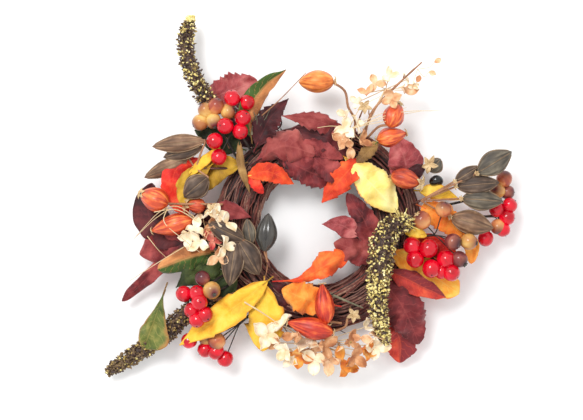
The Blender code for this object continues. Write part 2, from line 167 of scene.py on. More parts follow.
def full_turn(count):
    """That many angles at equal steps all the way round."""
    return np.linspace(0.0, 2.0 * math.pi, count, endpoint=False)


def unit(vectors):
    size = np.linalg.norm(vectors, axis=-1, keepdims=True)
    return vectors / np.maximum(size, 1e-9)


def frames(points, closed=False):
    """(along, across, up) at each point, with up kept as near +Z as it can be."""
    if closed:
        along = unit(np.roll(points, -1, axis=0) - np.roll(points, 1, axis=0))
    else:
        along = unit(np.gradient(points, axis=0))
    steep = np.abs(along[:, 2:3])
    helper = np.where(steep > 0.93, [[1.0, 0.0, 0.0]], [[0.0, 0.0, 1.0]])
    across = unit(np.cross(helper, along))
    return along, across, np.cross(along, across)


# ---- Pieces -----------------------------------------------------------------------------------

class Piece:
    """A mesh being gathered from closed shapes, with UVs and a material number on each face."""

    def __init__(self, name):
        self.name = name
        self.points = []
        self.count = 0
        self.faces = []
        self.uvs = []
        self.paint = []

    def add_points(self, points):
        points = np.asarray(points, float).reshape(-1, 3)
        first = self.count
        self.points.append(points)
        self.count += len(points)
        return first

    def add_faces(self, index, uv, paint):
        """index and uv hold the corners of the faces, one row each."""
        self.faces.extend(index.tolist())
        self.uvs.append(uv.reshape(-1, 2))
        self.paint.extend([paint] * len(index))

    def tube(self, rows, paint=0, closed=False):
        """A body skinned over rows of points, closed at its ends, or joined end to end."""
        count, sides = rows.shape[:2]
        first = self.add_points(rows)
        row = np.arange(count if closed else count - 1)
        row, side = (grid.ravel() for grid in np.meshgrid(row, np.arange(sides), indexing="ij"))
        after, beside = (row + 1) % count, (side + 1) % sides
        index = first + np.stack(
            [row * sides + side, row * sides + beside, after * sides + beside, after * sides + side], 1
        )
        span = count if closed else count - 1
        low, high = row / span, (row + 1) / span
        left, right = side / sides, (side + 1) / sides
        uv = np.stack([left, low, right, low, right, high, left, high], 1)
        self.add_faces(index, uv, paint)
        if closed:
            return
        for end, turned in ((0, True), (count - 1, False)):
            hub = self.add_points(rows[end].mean(axis=0))
            side = np.arange(sides)
            beside = (side + 1) % sides
            edge = first + end * sides
            pair = (beside, side) if turned else (side, beside)
            index = np.stack([edge + pair[0], edge + pair[1], np.full(sides, hub)], 1)
            height = end / (count - 1)
            flat = np.full(sides, height)
            uv = np.stack([side / sides, flat, (side + 1) / sides, flat, (side + 0.5) / sides, flat], 1)
            self.add_faces(index, uv, paint)

    def slab(self, points, thickness, top=0, under=0):
        """A thin closed sheet over a grid of points, rows along it and columns from left to right."""
        points = points[:, ::-1]
        rows, cols = points.shape[:2]
        along = np.gradient(points, axis=0)
        across = np.gradient(points, axis=1)
        normal = unit(np.cross(along, across))
        first = self.add_points(points + normal * thickness / 2)
        second = self.add_points(points - normal * thickness / 2)
        row, col = (
            grid.ravel() for grid in np.meshgrid(np.arange(rows - 1), np.arange(cols - 1), indexing="ij")
        )
        corner = row * cols + col
        index = np.stack([corner, corner + cols, corner + cols + 1, corner + 1], 1)
        left, right = col / (cols - 1), (col + 1) / (cols - 1)
        low, high = row / (rows - 1), (row + 1) / (rows - 1)
        uv = np.stack([left, low, left, high, right, high, right, low], 1).reshape(-1, 4, 2)
        self.add_faces(first + index, uv, top)
        self.add_faces(second + index[:, ::-1], uv[:, ::-1], under)
        rim = [
            *[(r, 0) for r in range(rows - 1)],
            *[(rows - 1, c) for c in range(cols - 1)],
            *[(r, cols - 1) for r in range(rows - 1, 0, -1)],
            *[(0, c) for c in range(cols - 1, 0, -1)],
        ]
        edge = np.array([r * cols + c for r, c in rim])
        place = np.array([(c / (cols - 1), r / (rows - 1)) for r, c in rim])
        beside, next_place = np.roll(edge, -1), np.roll(place, -1, axis=0)
        index = np.stack([second + edge, second + beside, first + beside, first + edge], 1)
        uv = np.stack([place, next_place, next_place, place], 1)
        self.add_faces(index, uv, top)

    def build(self, materials, body, nodes=()):
        mesh = bpy.data.meshes.new(self.name)
        mesh.from_pydata(np.concatenate(self.points).tolist(), [], self.faces)
        layer = mesh.uv_layers.new(name="UVMap")
        layer.data.foreach_set("uv", np.concatenate(self.uvs).ravel().astype(np.float32))
        mesh.polygons.foreach_set("material_index", self.paint)
        mesh.polygons.foreach_set("use_smooth", [True] * len(self.faces))
        for material in materials:
            mesh.materials.append(material)
        mesh.update()
        piece = bpy.data.objects.new(self.name, mesh)
        bpy.context.scene.collection.objects.link(piece)
        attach(piece, body)
        if nodes:
            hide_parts(*nodes)


def square_to(facing):
    """Two directions square to a unit one and to each other."""
    helper = UP if abs(facing[2]) < 0.9 else np.array([1.0, 0.0, 0.0])
    across = unit(np.cross(helper, facing))
    return across, np.cross(facing, across)


def skin(points, radii, sides, closed=False, flatness=1.0, ribs=0, rib_depth=0.0, dents=None):
    """Rows of points round a curve. radii may change along it; ribs run along it."""
    _, across, up = frames(points, closed)
    turn = full_turn(sides)
    radii = np.broadcast_to(np.asarray(radii, float), (len(points),))[:, None]
    reach = radii * (1.0 + rib_depth * np.cos(ribs * turn)[None, :])
    if dents is not None:
        reach = reach * (1.0 + dents)
    across = across[:, None] * np.cos(turn)[None, :, None]
    up = up[:, None] * np.sin(turn)[None, :, None] * flatness
    return points[:, None] + reach[..., None] * (across + up)


def round_ends(shares, blunt=0.5):
    """1 along the middle of the shares, falling to 0 at the ends."""
    return np.clip(4.0 * shares * (1.0 - shares), 0.0, 1.0) ** blunt


# ---- Materials --------------------------------------------------------------------------------

def srgb(red, green, blue):
    channels = []
    for value in (red, green, blue):
        value /= 255.0
        channels.append(value / 12.92 if value <= 0.04045 else ((value + 0.055) / 1.055) ** 2.4)
    return (*channels, 1.0)


class Paint:
    """A Principled material with its nodes, built up a step at a time."""

    def __init__(self, name, roughness=0.5, **sockets):
        self.material = bpy.data.materials.new(name)
        self.material.use_nodes = True
        self.tree = self.material.node_tree
        self.shader = self.tree.nodes["Principled BSDF"]
        self.shader.inputs["Roughness"].default_value = roughness
        for socket, value in sockets.items():
            self.shader.inputs[socket.replace("_", " ")].default_value = value
        self.where = self.node("ShaderNodeTexCoord")

    def node(self, kind, **settings):
        made = self.tree.nodes.new(kind)
        for setting, value in settings.items():
            setattr(made, setting, value)
        return made

    def link(self, source, target):
        self.tree.links.new(source, target)

    def plug(self, value, socket):
        if isinstance(value, bpy.types.NodeSocket):
            self.link(value, socket)
        else:
            socket.default_value = value

    def math(self, operation, first, second=0.0, third=0.0):
        made = self.node("ShaderNodeMath", operation=operation)
        for value, socket in zip((first, second, third), made.inputs):
            self.plug(value, socket)
        return made.outputs[0]

    def noise(self, scale, detail=3.0, stretch=None, uv=False, roughness=0.5, distortion=0.0):
        source = self.where.outputs["UV" if uv else "Object"]
        if stretch:
            mapping = self.node("ShaderNodeMapping")
            mapping.inputs["Scale"].default_value = stretch
            self.link(source, mapping.inputs["Vector"])
            source = mapping.outputs["Vector"]
        made = self.node("ShaderNodeTexNoise")
        self.link(source, made.inputs["Vector"])
        made.inputs["Scale"].default_value = scale
        made.inputs["Detail"].default_value = detail
        made.inputs["Roughness"].default_value = roughness
        made.inputs["Distortion"].default_value = distortion
        return made.outputs["Fac"]

    def ramp(self, value, *stops):
        """Colours by a value: stops are (position, colour)."""
        made = self.node("ShaderNodeValToRGB")
        self.plug(value, made.inputs["Fac"])
        elements = made.color_ramp.elements
        for _ in stops[2:]:
            elements.new(0.5)
        for element, (position, _) in zip(elements, stops):
            element.position = position
        for element, (_, colour) in zip(elements, stops):
            element.color = colour if isinstance(colour, tuple) else (colour, colour, colour, 1.0)
        return made.outputs["Color"]

    def mix(self, share, first, second):
        made = self.node("ShaderNodeMix", data_type="RGBA")
        self.plug(share, made.inputs["Factor"])
        self.plug(first, made.inputs["A"] if not isinstance(first, tuple) else made.inputs[6])
        self.plug(second, made.inputs["B"] if not isinstance(second, tuple) else made.inputs[7])
        return made.outputs[2]

    def colour(self, value):
        self.link(value, self.shader.inputs["Base Color"])

    def rough(self, value, low, high):
        spread = self.node("ShaderNodeMapRange")
        self.link(value, spread.inputs["Value"])
        spread.inputs["To Min"].default_value = low
        spread.inputs["To Max"].default_value = high
        self.link(spread.outputs["Result"], self.shader.inputs["Roughness"])

    def bump(self, height, strength, distance):
        made = self.node("ShaderNodeBump")
        made.inputs["Strength"].default_value = strength
        made.inputs["Distance"].default_value = distance * MM
        self.link(height, made.inputs["Height"])
        self.link(made.outputs["Normal"], self.shader.inputs["Normal"])

    def uv_axes(self):
        """(u, v): across and along."""
        split = self.node("ShaderNodeSeparateXYZ")
        self.link(self.where.outputs["UV"], split.inputs[0])
        return split.outputs["X"], split.outputs["Y"]


def bark(name, dark, middle, light, roughness=0.7):
    """Twig bark: streaks along it and mottled patches."""
    paint = Paint(name, roughness)
    streaks = paint.noise(1.0, 4.0, stretch=(7.0, 90.0, 1.0), uv=True)
    patches = paint.noise(75.0, 3.0)
    both = paint.math("ADD", paint.math("MULTIPLY", streaks, 0.55), paint.math("MULTIPLY", patches, 0.45))
    paint.colour(paint.ramp(both, (0.36, dark), (0.5, middle), (0.68, light)))
    paint.rough(streaks, roughness - 0.2, roughness + 0.15)
    paint.bump(both, 0.6, 0.5)
    return paint.material


def leaf_paint(
    name, base, deep, pale, edge=None, edge_reach=0.75, vein_tint=0.35, scale=55.0, sides=None,
    edge_side=False,
):
    """A leaf: mottled colour, a midrib and slanting side veins, an edge tint, fine cloth bump."""
    veins = 9.0
    slant = 1.6
    roughness = 0.62
    paint = Paint(name, roughness, Sheen_Weight=0.15, Specular_IOR_Level=0.3)
    paint.shader.inputs["Sheen Roughness"].default_value = 0.45
    u, v = paint.uv_axes()
    from_rib = paint.math("ABSOLUTE", paint.math("MULTIPLY_ADD", u, 2.0, -1.0))
    mottle = paint.noise(scale, 5.0, roughness=0.6, distortion=0.4)
    colour = paint.ramp(mottle, (0.33, deep), (0.5, base), (0.68, pale))
    if sides:
        half = paint.math("ADD", u, paint.math("MULTIPLY", mottle, 0.3))
        colour = paint.mix(paint.ramp(half, (0.55, 0.0), (0.72, 1.0)), colour, sides)
    if edge:
        ragged = paint.math("ADD", from_rib, paint.math("MULTIPLY_ADD", mottle, 0.7, -0.35))
        rim = paint.ramp(ragged, (edge_reach, 0.0), (1.0, 1.0))
        if edge_side:
            rim = paint.math("MULTIPLY", rim, paint.ramp(u, (0.35, 1.0), (0.6, 0.0)))
        colour = paint.mix(rim, colour, edge)
    wander = paint.math("MULTIPLY", paint.noise(9.0, 2.0, uv=True), 0.12)
    sweep = paint.math("MULTIPLY", from_rib, slant / veins)
    slanted = paint.math("SUBTRACT", paint.math("ADD", v, wander), sweep)
    side = paint.math("PINGPONG", paint.math("MULTIPLY", slanted, veins), 0.5)
    side_line = paint.ramp(side, (0.0, 1.0), (0.085, 0.0))
    rib_line = paint.ramp(from_rib, (0.0, 1.0), (0.06, 0.0))
    lines = paint.math("MAXIMUM", side_line, rib_line)
    fine = paint.noise(900.0, 2.0)
    paint.colour(paint.mix(paint.math("MULTIPLY", lines, vein_tint), colour, pale))
    height = paint.math("ADD", paint.math("MULTIPLY", lines, 0.8), paint.math("MULTIPLY", fine, 0.25))
    height = paint.math("ADD", height, paint.math("MULTIPLY", mottle, 0.6))
    paint.rough(mottle, roughness - 0.12, roughness + 0.12)
    paint.bump(height, 0.45, 0.5)
    return paint.material


def berry_paint(name, base, deep, blush, pale, roughness, coat):
    paint = Paint(
        name, roughness, Coat_Weight=coat, Coat_Roughness=0.03, Coat_IOR=1.5, Specular_IOR_Level=0.2
    )
    patches = paint.noise(95.0, 3.0, distortion=0.5)
    colour = paint.ramp(patches, (0.35, deep), (0.5, base), (0.68, pale))
    u, v = paint.uv_axes()
    near_tip = paint.math("ADD", v, paint.math("MULTIPLY_ADD", patches, 0.6, -0.3))
    colour = paint.mix(paint.ramp(near_tip, (0.55, 0.0), (0.95, 1.0)), colour, blush)
    paint.colour(colour)
    fine = paint.noise(700.0, 2.0)
    paint.rough(patches, roughness, roughness + 0.12)
    paint.bump(fine, 0.12, 0.2)
    return paint.material


def ribbed_paint(name, deep, base, pale, roughness=0.5, ribs=16.0, coat=0.0):
    """A husk or pod: streaks along its length and mottling across them."""
    paint = Paint(name, roughness, Coat_Weight=coat, Coat_Roughness=0.2)
    streaks = paint.noise(1.0, 4.0, stretch=(ribs, 1.8, 1.0), uv=True, distortion=0.6)
    patches = paint.noise(120.0, 4.0)
    both = paint.math("ADD", paint.math("MULTIPLY", streaks, 0.65), paint.math("MULTIPLY", patches, 0.35))
    paint.colour(paint.ramp(both, (0.36, deep), (0.5, base), (0.64, pale)))
    paint.rough(both, roughness - 0.15, roughness + 0.2)
    paint.bump(both, 0.6, 0.7)
    return paint.material


def petal_paint(name, base, deep, pale):
    """A dried petal: veins that fan out from its foot, and darker patches."""
    paint = Paint(name, 0.6, Sheen_Weight=0.2, Specular_IOR_Level=0.3)
    paint.shader.inputs["Sheen Roughness"].default_value = 0.5
    veins = paint.noise(1.0, 3.0, stretch=(16.0, 1.2, 1.0), uv=True, distortion=0.3)
    patches = paint.noise(140.0, 4.0)
    colour = paint.ramp(patches, (0.36, deep), (0.52, base), (0.66, pale))
    paint.colour(paint.mix(paint.ramp(veins, (0.5, 0.0), (0.72, 0.35)), colour, deep))
    paint.rough(patches, 0.5, 0.75)
    paint.bump(veins, 0.4, 0.5)
    return paint.material


def wire_paint():
    paint = Paint("wire_dark", 0.45, Metallic=0.35)
    grain = paint.noise(300.0, 3.0)
    paint.colour(paint.ramp(grain, (0.35, srgb(22, 18, 17)), (0.65, srgb(62, 50, 44))))
    paint.rough(grain, 0.35, 0.6)
    paint.bump(grain, 0.3, 0.2)
    return paint.material


# Dark, middle and light, then what differs.
BARKS = {
    "vine_bark": ((26, 12, 11), (80, 40, 34), (160, 112, 94), {}),
    "vine_bark_red": ((48, 18, 16), (104, 44, 36), (158, 92, 74), {}),
    "vine_bark_pale": ((66, 38, 34), (124, 82, 70), (186, 146, 120), {}),
    # vine_heart is near black: painted shade for the heart and the inner twigs deep in the bundle; a few
    # outer twigs take it at random as a dark tone.
    "vine_heart": ((20, 10, 9), (44, 22, 20), (74, 42, 36), {}),
    "mossy_stem": ((70, 70, 58), (110, 108, 86), (160, 152, 120), {}),
    "twig_bark": ((96, 58, 38), (158, 108, 74), (206, 160, 120), {}),
    "straw": ((176, 146, 98), (220, 194, 150), (244, 228, 198), dict(roughness=0.55)),
}

# Base, deep and pale, then what differs.
LEAF_FINISHES = {
    # The three maroon finishes are one cloth: the lighter copy is painted light on the front leaves, the
    # darker copy is painted shade on the low and back leaves and on undersides. Their wide deep-to-pale
    # mottle is partly the cloth's uneven tone and partly painted light and shade on the folds.
    "maroon": ((114, 34, 38), (56, 10, 16), (172, 78, 74), dict(scale=38.0)),
    "maroon_light": ((130, 46, 46), (78, 20, 24), (178, 92, 84), dict(scale=34.0)),
    "maroon_dark": ((64, 16, 22), (28, 6, 10), (112, 44, 46), dict(scale=38.0)),
    "pink": ((162, 70, 72), (112, 34, 40), (202, 122, 116), {}),
    "red": ((222, 42, 28), (174, 20, 18), (246, 96, 60), {}),
    "red_maroon": ((196, 58, 44), (132, 34, 38), (236, 96, 62), dict(sides=srgb(128, 40, 44))),
    "orange": ((232, 84, 32), (206, 50, 24), (248, 136, 60), {}),
    "orange_yellow": ((250, 186, 70), (240, 146, 44), (254, 216, 116), dict(edge=srgb(238, 112, 40))),
    "yellow": ((240, 190, 56), (214, 152, 38), (248, 212, 92), dict(edge=srgb(224, 156, 38))),
    "olive": ((182, 138, 34), (136, 98, 28), (214, 172, 58), {}),
    "cream": (
        (248, 228, 134), (240, 202, 98), (252, 240, 172),
        dict(edge=srgb(226, 92, 50), edge_reach=0.82, edge_side=True),
    ),
    "green_brown": ((190, 122, 70), (150, 92, 52), (222, 156, 96), dict(sides=srgb(62, 88, 32))),
    "orange_red": ((218, 66, 28), (178, 38, 22), (244, 118, 54), {}),
    "orange_light": ((244, 142, 50), (236, 104, 36), (252, 182, 84), {}),
    "green": ((70, 96, 34), (42, 66, 24), (122, 142, 60), dict(sides=srgb(196, 124, 66))),
    "green_dark": ((44, 56, 26), (22, 30, 14), (80, 92, 44), {}),
    "green_striped": (
        (98, 108, 46), (60, 76, 32), (160, 148, 80), dict(edge=srgb(170, 120, 66), vein_tint=0.7),
    ),
    "brown": ((150, 112, 62), (104, 74, 40), (196, 156, 96), {}),
}

# Base, deep, blush and pale, then what differs.
BERRY_FINISHES = {
    "berry_red": ((212, 0, 30), (170, 0, 20), (184, 0, 26), (232, 10, 46), dict(roughness=0.2, coat=0.7)),
    "berry_tan": (
        (204, 152, 82), (176, 112, 66), (112, 52, 52), (226, 186, 112), dict(roughness=0.3, coat=0.4),
    ),
    "berry_plum": (
        (126, 58, 56), (88, 36, 42), (68, 28, 36), (180, 110, 84), dict(roughness=0.3, coat=0.4),
    ),
    "berry_blush": (
        (196, 112, 68), (158, 74, 56), (94, 38, 42), (224, 164, 104), dict(roughness=0.3, coat=0.4),
    ),
    "seed_black": ((20, 16, 14), (8, 6, 6), (14, 10, 10), (44, 36, 32), dict(roughness=0.15, coat=0.8)),
}

# Deep, base and pale, then what differs.
RIBBED_FINISHES = {
    "berry_cap": ((26, 24, 22), (56, 52, 46), (104, 98, 84), {}),
    "husk": ((146, 38, 20), (206, 74, 32), (242, 140, 66), dict(roughness=0.42, ribs=22.0, coat=0.25)),
    "husk_tan": ((158, 66, 26), (220, 120, 48), (246, 172, 92), dict(roughness=0.42)),
    "husk_brown": ((110, 30, 22), (182, 62, 34), (226, 116, 60), dict(roughness=0.42)),
    "husk_red": ((120, 22, 20), (196, 52, 30), (240, 122, 56), dict(roughness=0.42)),
    "calyx": ((146, 112, 74), (204, 172, 124), (238, 218, 176), dict(roughness=0.65, ribs=6.0)),
    "pod": ((44, 32, 26), (78, 60, 48), (124, 102, 84), dict(roughness=0.6, ribs=14.0)),
    "pod_warm": ((74, 50, 36), (118, 86, 62), (172, 136, 104), dict(roughness=0.55, ribs=14.0)),
    "pod_grey": ((50, 44, 38), (86, 78, 66), (128, 118, 100), dict(roughness=0.6, ribs=14.0)),
    "pod_slate": ((50, 44, 36), (84, 74, 60), (126, 114, 94), dict(roughness=0.5, ribs=14.0)),
    "pod_rim": ((96, 74, 54), (142, 116, 88), (188, 162, 128), dict(roughness=0.6, ribs=4.0)),
    "pod_dark": ((34, 30, 28), (56, 52, 46), (86, 82, 74), dict(roughness=0.28, ribs=10.0, coat=0.6)),
    "grain_dark": ((48, 34, 30), (80, 58, 50), (122, 94, 80), dict(roughness=0.6, ribs=3.0)),
    "grain_brown": ((76, 58, 42), (118, 94, 64), (162, 134, 94), dict(roughness=0.6, ribs=3.0)),
    "grain_pale": ((214, 188, 96), (242, 226, 150), (252, 246, 212), dict(roughness=0.6, ribs=3.0)),
    "grain_olive": ((120, 96, 50), (176, 148, 82), (216, 192, 120), dict(roughness=0.6, ribs=3.0)),
}

# Base, deep and pale, then what differs.
PETAL_FINISHES = {
    "petal_cream": ((244, 228, 198), (226, 196, 150), (252, 242, 222), {}),
    "petal_peach": ((232, 184, 138), (206, 142, 98), (246, 214, 178), {}),
    "petal_tan": ((204, 144, 96), (164, 102, 64), (230, 182, 136), {}),
    "petal_pink": ((226, 112, 96), (196, 66, 66), (246, 178, 150), {}),
    "petal_amber": ((226, 146, 54), (196, 100, 40), (244, 190, 100), {}),
}


def mix_paints(make, rows, prefix=""):
    return {
        name: make(prefix + name, *(srgb(*colour) for colour in colours), **changes)
        for name, (*colours, changes) in rows.items()
    }


PAINTS = {
    "wire_dark": wire_paint(),
    **mix_paints(bark, BARKS),
    **mix_paints(leaf_paint, LEAF_FINISHES, "leaf_"),
    **mix_paints(berry_paint, BERRY_FINISHES),
    **mix_paints(ribbed_paint, RIBBED_FINISHES),
    **mix_paints(petal_paint, PETAL_FINISHES),
}


# ---- The ring of vines ------------------------------------------------------------------------

def oval(turn, depth, grow=0.0):
    """(outward, up) on the bundle's oval, widened by grow and then scaled in by depth."""
    return (HALF_WIDTH + grow) * depth * np.cos(turn), (HALF_HEIGHT + grow) * depth * np.sin(turn)


def around_ring(angle, outward, up):
    """Points that far outward and up from the ring's centre line, at those angles."""
    radius = RING_RADIUS + outward
    rows = [MIDDLE[0] + radius * np.cos(angle), MIDDLE[1] + radius * np.sin(angle), MIDDLE[2] + up]
    return np.stack(rows, axis=1)


def bundle_points(angle, share, depth):
    """Points at those angles, each at a share of the way round the bundle's oval."""
    turn = 2.0 * math.pi * np.broadcast_to(share, angle.shape)
    return around_ring(angle, *oval(turn, depth))


def add_twig(piece, dice, share, depth, radius, start, span, turns, paint):
    """One thin vine laid along the bundle, tapering at both ends."""
    count = max(24, int(150 * span))
    along = np.linspace(0.0, 1.0, count)
    angle = start + 2.0 * math.pi * span * along
    drift = share + turns * along * span + wobble(dice, along, 0.012, start=2.0)
    depth = np.clip(depth + wobble(dice, along, 0.035, start=2.5), 0.2, 0.985)
    points = bundle_points(angle, drift, depth)
    thick = radius * (1.0 + wobble(dice, along, 0.14, start=6.0)) * (0.35 + 0.65 * round_ends(along, 0.3))
    piece.tube(skin(points, thick, 6), paint)


# The third vine paint is near black: painted shade on the inner twigs and the heart, and a dark tone on a few
# outer twigs chosen at random.
VINE_PAINTS = ("vine_bark", "vine_bark_pale", "vine_heart", "vine_bark_red")
HEART_SHADE_PAINT = 2
OUTER_TWIGS = 21
CROSSING_TWIGS = 5
INNER_TWIGS = 8
STRAY_ENDS = 5


def make_vines():
    """Each vine of the frame as a hank of thin twigs, and a heart that fills the middle. The heart and the
    inner twigs are painted near black as shade deep in the bundle.
    """
    paints = [PAINTS[key] for key in VINE_PAINTS]
    for strand in range(6):
        dice = np.random.default_rng(40 + strand)
        piece = Piece(f"twigs_{strand + 1}")
        for number in range(OUTER_TWIGS):
            share = (strand + number / OUTER_TWIGS) / 6.0 + dice.uniform(-0.012, 0.012)
            turns = dice.choice([0.12, 0.22, -0.12, 0.35, -0.3])
            depth = dice.uniform(0.84, 0.95)
            radius = dice.uniform(0.5, 1.05) * MM
            span = dice.uniform(0.6, 1.02)
            paint = int(dice.choice(4, p=[0.46, 0.16, 0.08, 0.3]))
            add_twig(piece, dice, share, depth, radius, dice.uniform(0, 6.28), span, turns, paint)
        for _ in range(CROSSING_TWIGS):
            share = dice.uniform(0.02, 0.48)
            turns = dice.choice([0.5, -0.5, 0.8, -0.7])
            radius = dice.uniform(0.5, 0.8) * MM
            paint = int(dice.choice([1, 3]))
            add_twig(piece, dice, share, 0.97, radius, dice.uniform(0, 6.28), 0.3, turns, paint)
        # Inner twigs in the near-black paint: painted shade inside the bundle.
        for _ in range(INNER_TWIGS):
            add_twig(
                piece, dice, dice.random(), dice.uniform(0.66, 0.82), dice.uniform(0.9, 1.3) * MM,
                dice.uniform(0, 6.28), 0.8, dice.uniform(-0.3, 0.3), HEART_SHADE_PAINT,
            )
        add_stray_ends(piece, dice)
        piece.build(paints, "wreath", [f"vine_strand_{strand + 1}"])
    # The heart is painted near black: painted shade in the middle of the bundle.
    heart = Piece("vine_heart")
    steps, sides = 120, 16
    angle = full_turn(steps)
    dice = np.random.default_rng(7)
    spine = bundle_points(angle, 0.0, 1e-4)
    across = np.stack([np.cos(angle), np.sin(angle), np.zeros(steps)], axis=1)
    turn = full_turn(sides)
    rough = 0.62 + 0.05 * dice.standard_normal((steps, sides))
    wide, high = oval(turn, rough)
    rows = spine[:, None] + wide[..., None] * across[:, None] + high[..., None] * UP
    heart.tube(rows[::-1], closed=True)
    heart.build([PAINTS["vine_heart"]], "wreath", ["vine_core"])


def add_stray_ends(piece, dice):
    """Cut twig ends that stand out of the bundle."""
    for _ in range(STRAY_ENDS):
        angle = dice.uniform(0.0, 2.0 * math.pi)
        outward = dice.choice([-1.0, 1.0, 1.0])
        side = 0.0 if outward > 0 else 0.5
        share = side + dice.uniform(0.02, 0.16) * outward
        start = bundle_points(np.array([angle]), share, 0.9)[0]
        heading = np.array([-math.sin(angle), math.cos(angle), 0.0]) * dice.choice([-1.0, 1.0])
        away = np.array([math.cos(angle), math.sin(angle), 0.0]) * outward
        reach = dice.uniform(8.0, 17.0) * MM
        lean = dice.uniform(0.15, 0.5)
        middle = start + heading * reach * 0.5 + away * reach * lean * 0.3
        tip = start + heading * reach + away * reach * lean
        points = path([start - heading * reach * 0.6, middle, tip], 14)
        piece.tube(skin(points, np.linspace(0.8, 0.3, 14) * MM, 6), 0)


def make_ties():
    """The ties as three turns of thin dark wire each, and the hanging eye as twisted wire."""
    for number, bearing in enumerate((112.0, 262.0, 348.0)):
        piece = Piece(f"tie_wrap_{number + 1}")
        dice = np.random.default_rng(90 + number)
        turn = full_turn(60)
        for lap in (-1.5, 0.0, 1.5):
            angle = math.radians(bearing) + (lap + 0.35 * np.sin(turn + lap)) * MM / RING_RADIUS
            reach = 1.0 + 0.008 * dice.standard_normal()
            points = around_ring(angle, *oval(turn, reach, 0.9 * MM))
            piece.tube(skin(points, 0.5 * MM, 8, closed=True), closed=True)
        piece.build([PAINTS["wire_dark"]], "wreath", [f"wire_tie_{number + 1}"])
    low, high = (np.array(corner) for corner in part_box("hanging_eye"))
    middle = (low + high) / 2.0
    angle = math.radians(112.0)
    outward = np.array([math.cos(angle), math.sin(angle), 0.0])
    across = np.array([-math.sin(angle), math.cos(angle), 0.0])
    turn = full_turn(72)
    piece = Piece("eye_of_twisted_wire")
    for strand in (0.0, math.pi):
        twist = 14.0 * turn + strand
        swell = 0.33 * MM * np.cos(twist)
        points = (
            middle
            + np.outer((5.5 * MM + swell) * np.cos(turn), -outward)
            + np.outer((5.0 * MM + swell) * np.sin(turn), across)
        )
        points[:, 2] += 0.33 * MM * np.sin(twist)
        piece.tube(skin(points, 0.36 * MM, 8, closed=True), closed=True)
    piece.build([PAINTS["wire_dark"]], "hanging_eye", ["hanging_eye"])


# ---- Leaves -----------------------------------------------------------------------------------

# How the half width goes from stalk to tip: sin(pi * share ** lean) ** sharp.
OUTLINES = {
    "ovate": (0.72, 1.1),
    "round": (0.85, 0.6),
    "long": (0.85, 0.9),
    "strap": (0.9, 0.45),
    "broad": (1.25, 0.7),
    "spoon": (2.1, 0.9),
}
THICKNESS = 0.45 * MM
STALK_RADIUS = 0.6
UNDERSIDE = 1


def blade(
    piece, name, knots, width, outline, left=1.0, right=1.0, fold=0.25, curl=(0.5, 0.5), ripple=0.12,
    waves=3.0, teeth=0, bite=0.0, turn=(0.0, 0.0),
):
    """A leaf's blade. curl rolls its left and right sides, turn twists it about its midrib."""
    rows, cols = 44, 17
    dice = np.random.default_rng(sum(ord(letter) for letter in name))
    share = np.linspace(0.0, 1.0, rows)
    spine = path([at(*knot) for knot in knots], rows)
    length = np.linalg.norm(np.diff(spine, axis=0), axis=1).sum()
    spine[:, 2] += wobble(dice, share, 0.012 * length, start=1.2)
    along, across, up = frames(spine)
    twist = np.radians(np.linspace(*turn, rows))[:, None]
    across, up = across * np.cos(twist) + up * np.sin(twist), up * np.cos(twist) - across * np.sin(twist)
    lean, sharp = OUTLINES[outline]
    half = np.sin(math.pi * np.clip(share, 0.001, 0.999) ** lean) ** sharp
    half = np.maximum(half, 0.035 + 0.02 * (share < 0.1)) * width * MM / 2.0
    half = half * (1.0 + wobble(dice, share, 0.05, start=2.0))
    side = np.linspace(1.0, -1.0, cols)
    reach = np.where(side[None] > 0, left, right) * half[:, None] * np.abs(side)[None]
    if teeth:
        saw = (share * teeth) % 1.0
        notch = 1.0 - bite * saw[:, None] * np.abs(side)[None] ** 5
        reach = reach * notch
    rolled = np.where(side[None] > 0, curl[0], curl[1]) * np.abs(side)[None]
    rolled = rolled * (0.55 + 0.45 * np.sin(math.pi * share))[:, None]
    rolled = np.where(np.abs(rolled) < 1e-3, 1e-3, rolled)
    out = reach * np.sin(rolled) / rolled
    drop = reach * (1.0 - np.cos(rolled)) / rolled
    out, drop = out * math.cos(fold), out * math.sin(fold) - drop
    for waviness, sign in ((0.0, 1.0), (1.7, -1.0)):
        edge = np.where(side[None] * sign > 0, np.abs(side)[None] ** 1.6, 0.0)
        phase = dice.uniform(0.0, 6.28) + waviness
        wave = np.sin(2.0 * math.pi * waves * share[:, None] + phase)
        drop = drop + ripple * half[:, None] * edge * wave
    crumple = 0.065 * width * MM * dice.standard_normal((rows // 5 + 2, cols // 4 + 2))
    row, col = np.linspace(0, crumple.shape[0] - 1.01, rows), np.linspace(0, crumple.shape[1] - 1.01, cols)
    r0, c0 = row.astype(int), col.astype(int)
    rf, cf = (row - r0)[:, None], (col - c0)[None]
    soft = (
        crumple[r0][:, c0] * (1 - rf) * (1 - cf)
        + crumple[r0 + 1][:, c0] * rf * (1 - cf)
        + crumple[r0][:, c0 + 1] * (1 - rf) * cf
        + crumple[r0 + 1][:, c0 + 1] * rf * cf
    )
    drop = drop + soft * np.minimum(1.0, half / half.max())[:, None]
    sign = np.sign(side)[None, :, None]
    points = spine[:, None] + sign * out[..., None] * across[:, None] + drop[..., None] * up[:, None]
    piece.slab(points, THICKNESS, 0, UNDERSIDE)


def stalk(piece, knots):
    points = path([at(*knot) for knot in knots], 12)
    piece.tube(skin(points, np.linspace(STALK_RADIUS, STALK_RADIUS * 0.8, 12) * MM, 6), UNDERSIDE)


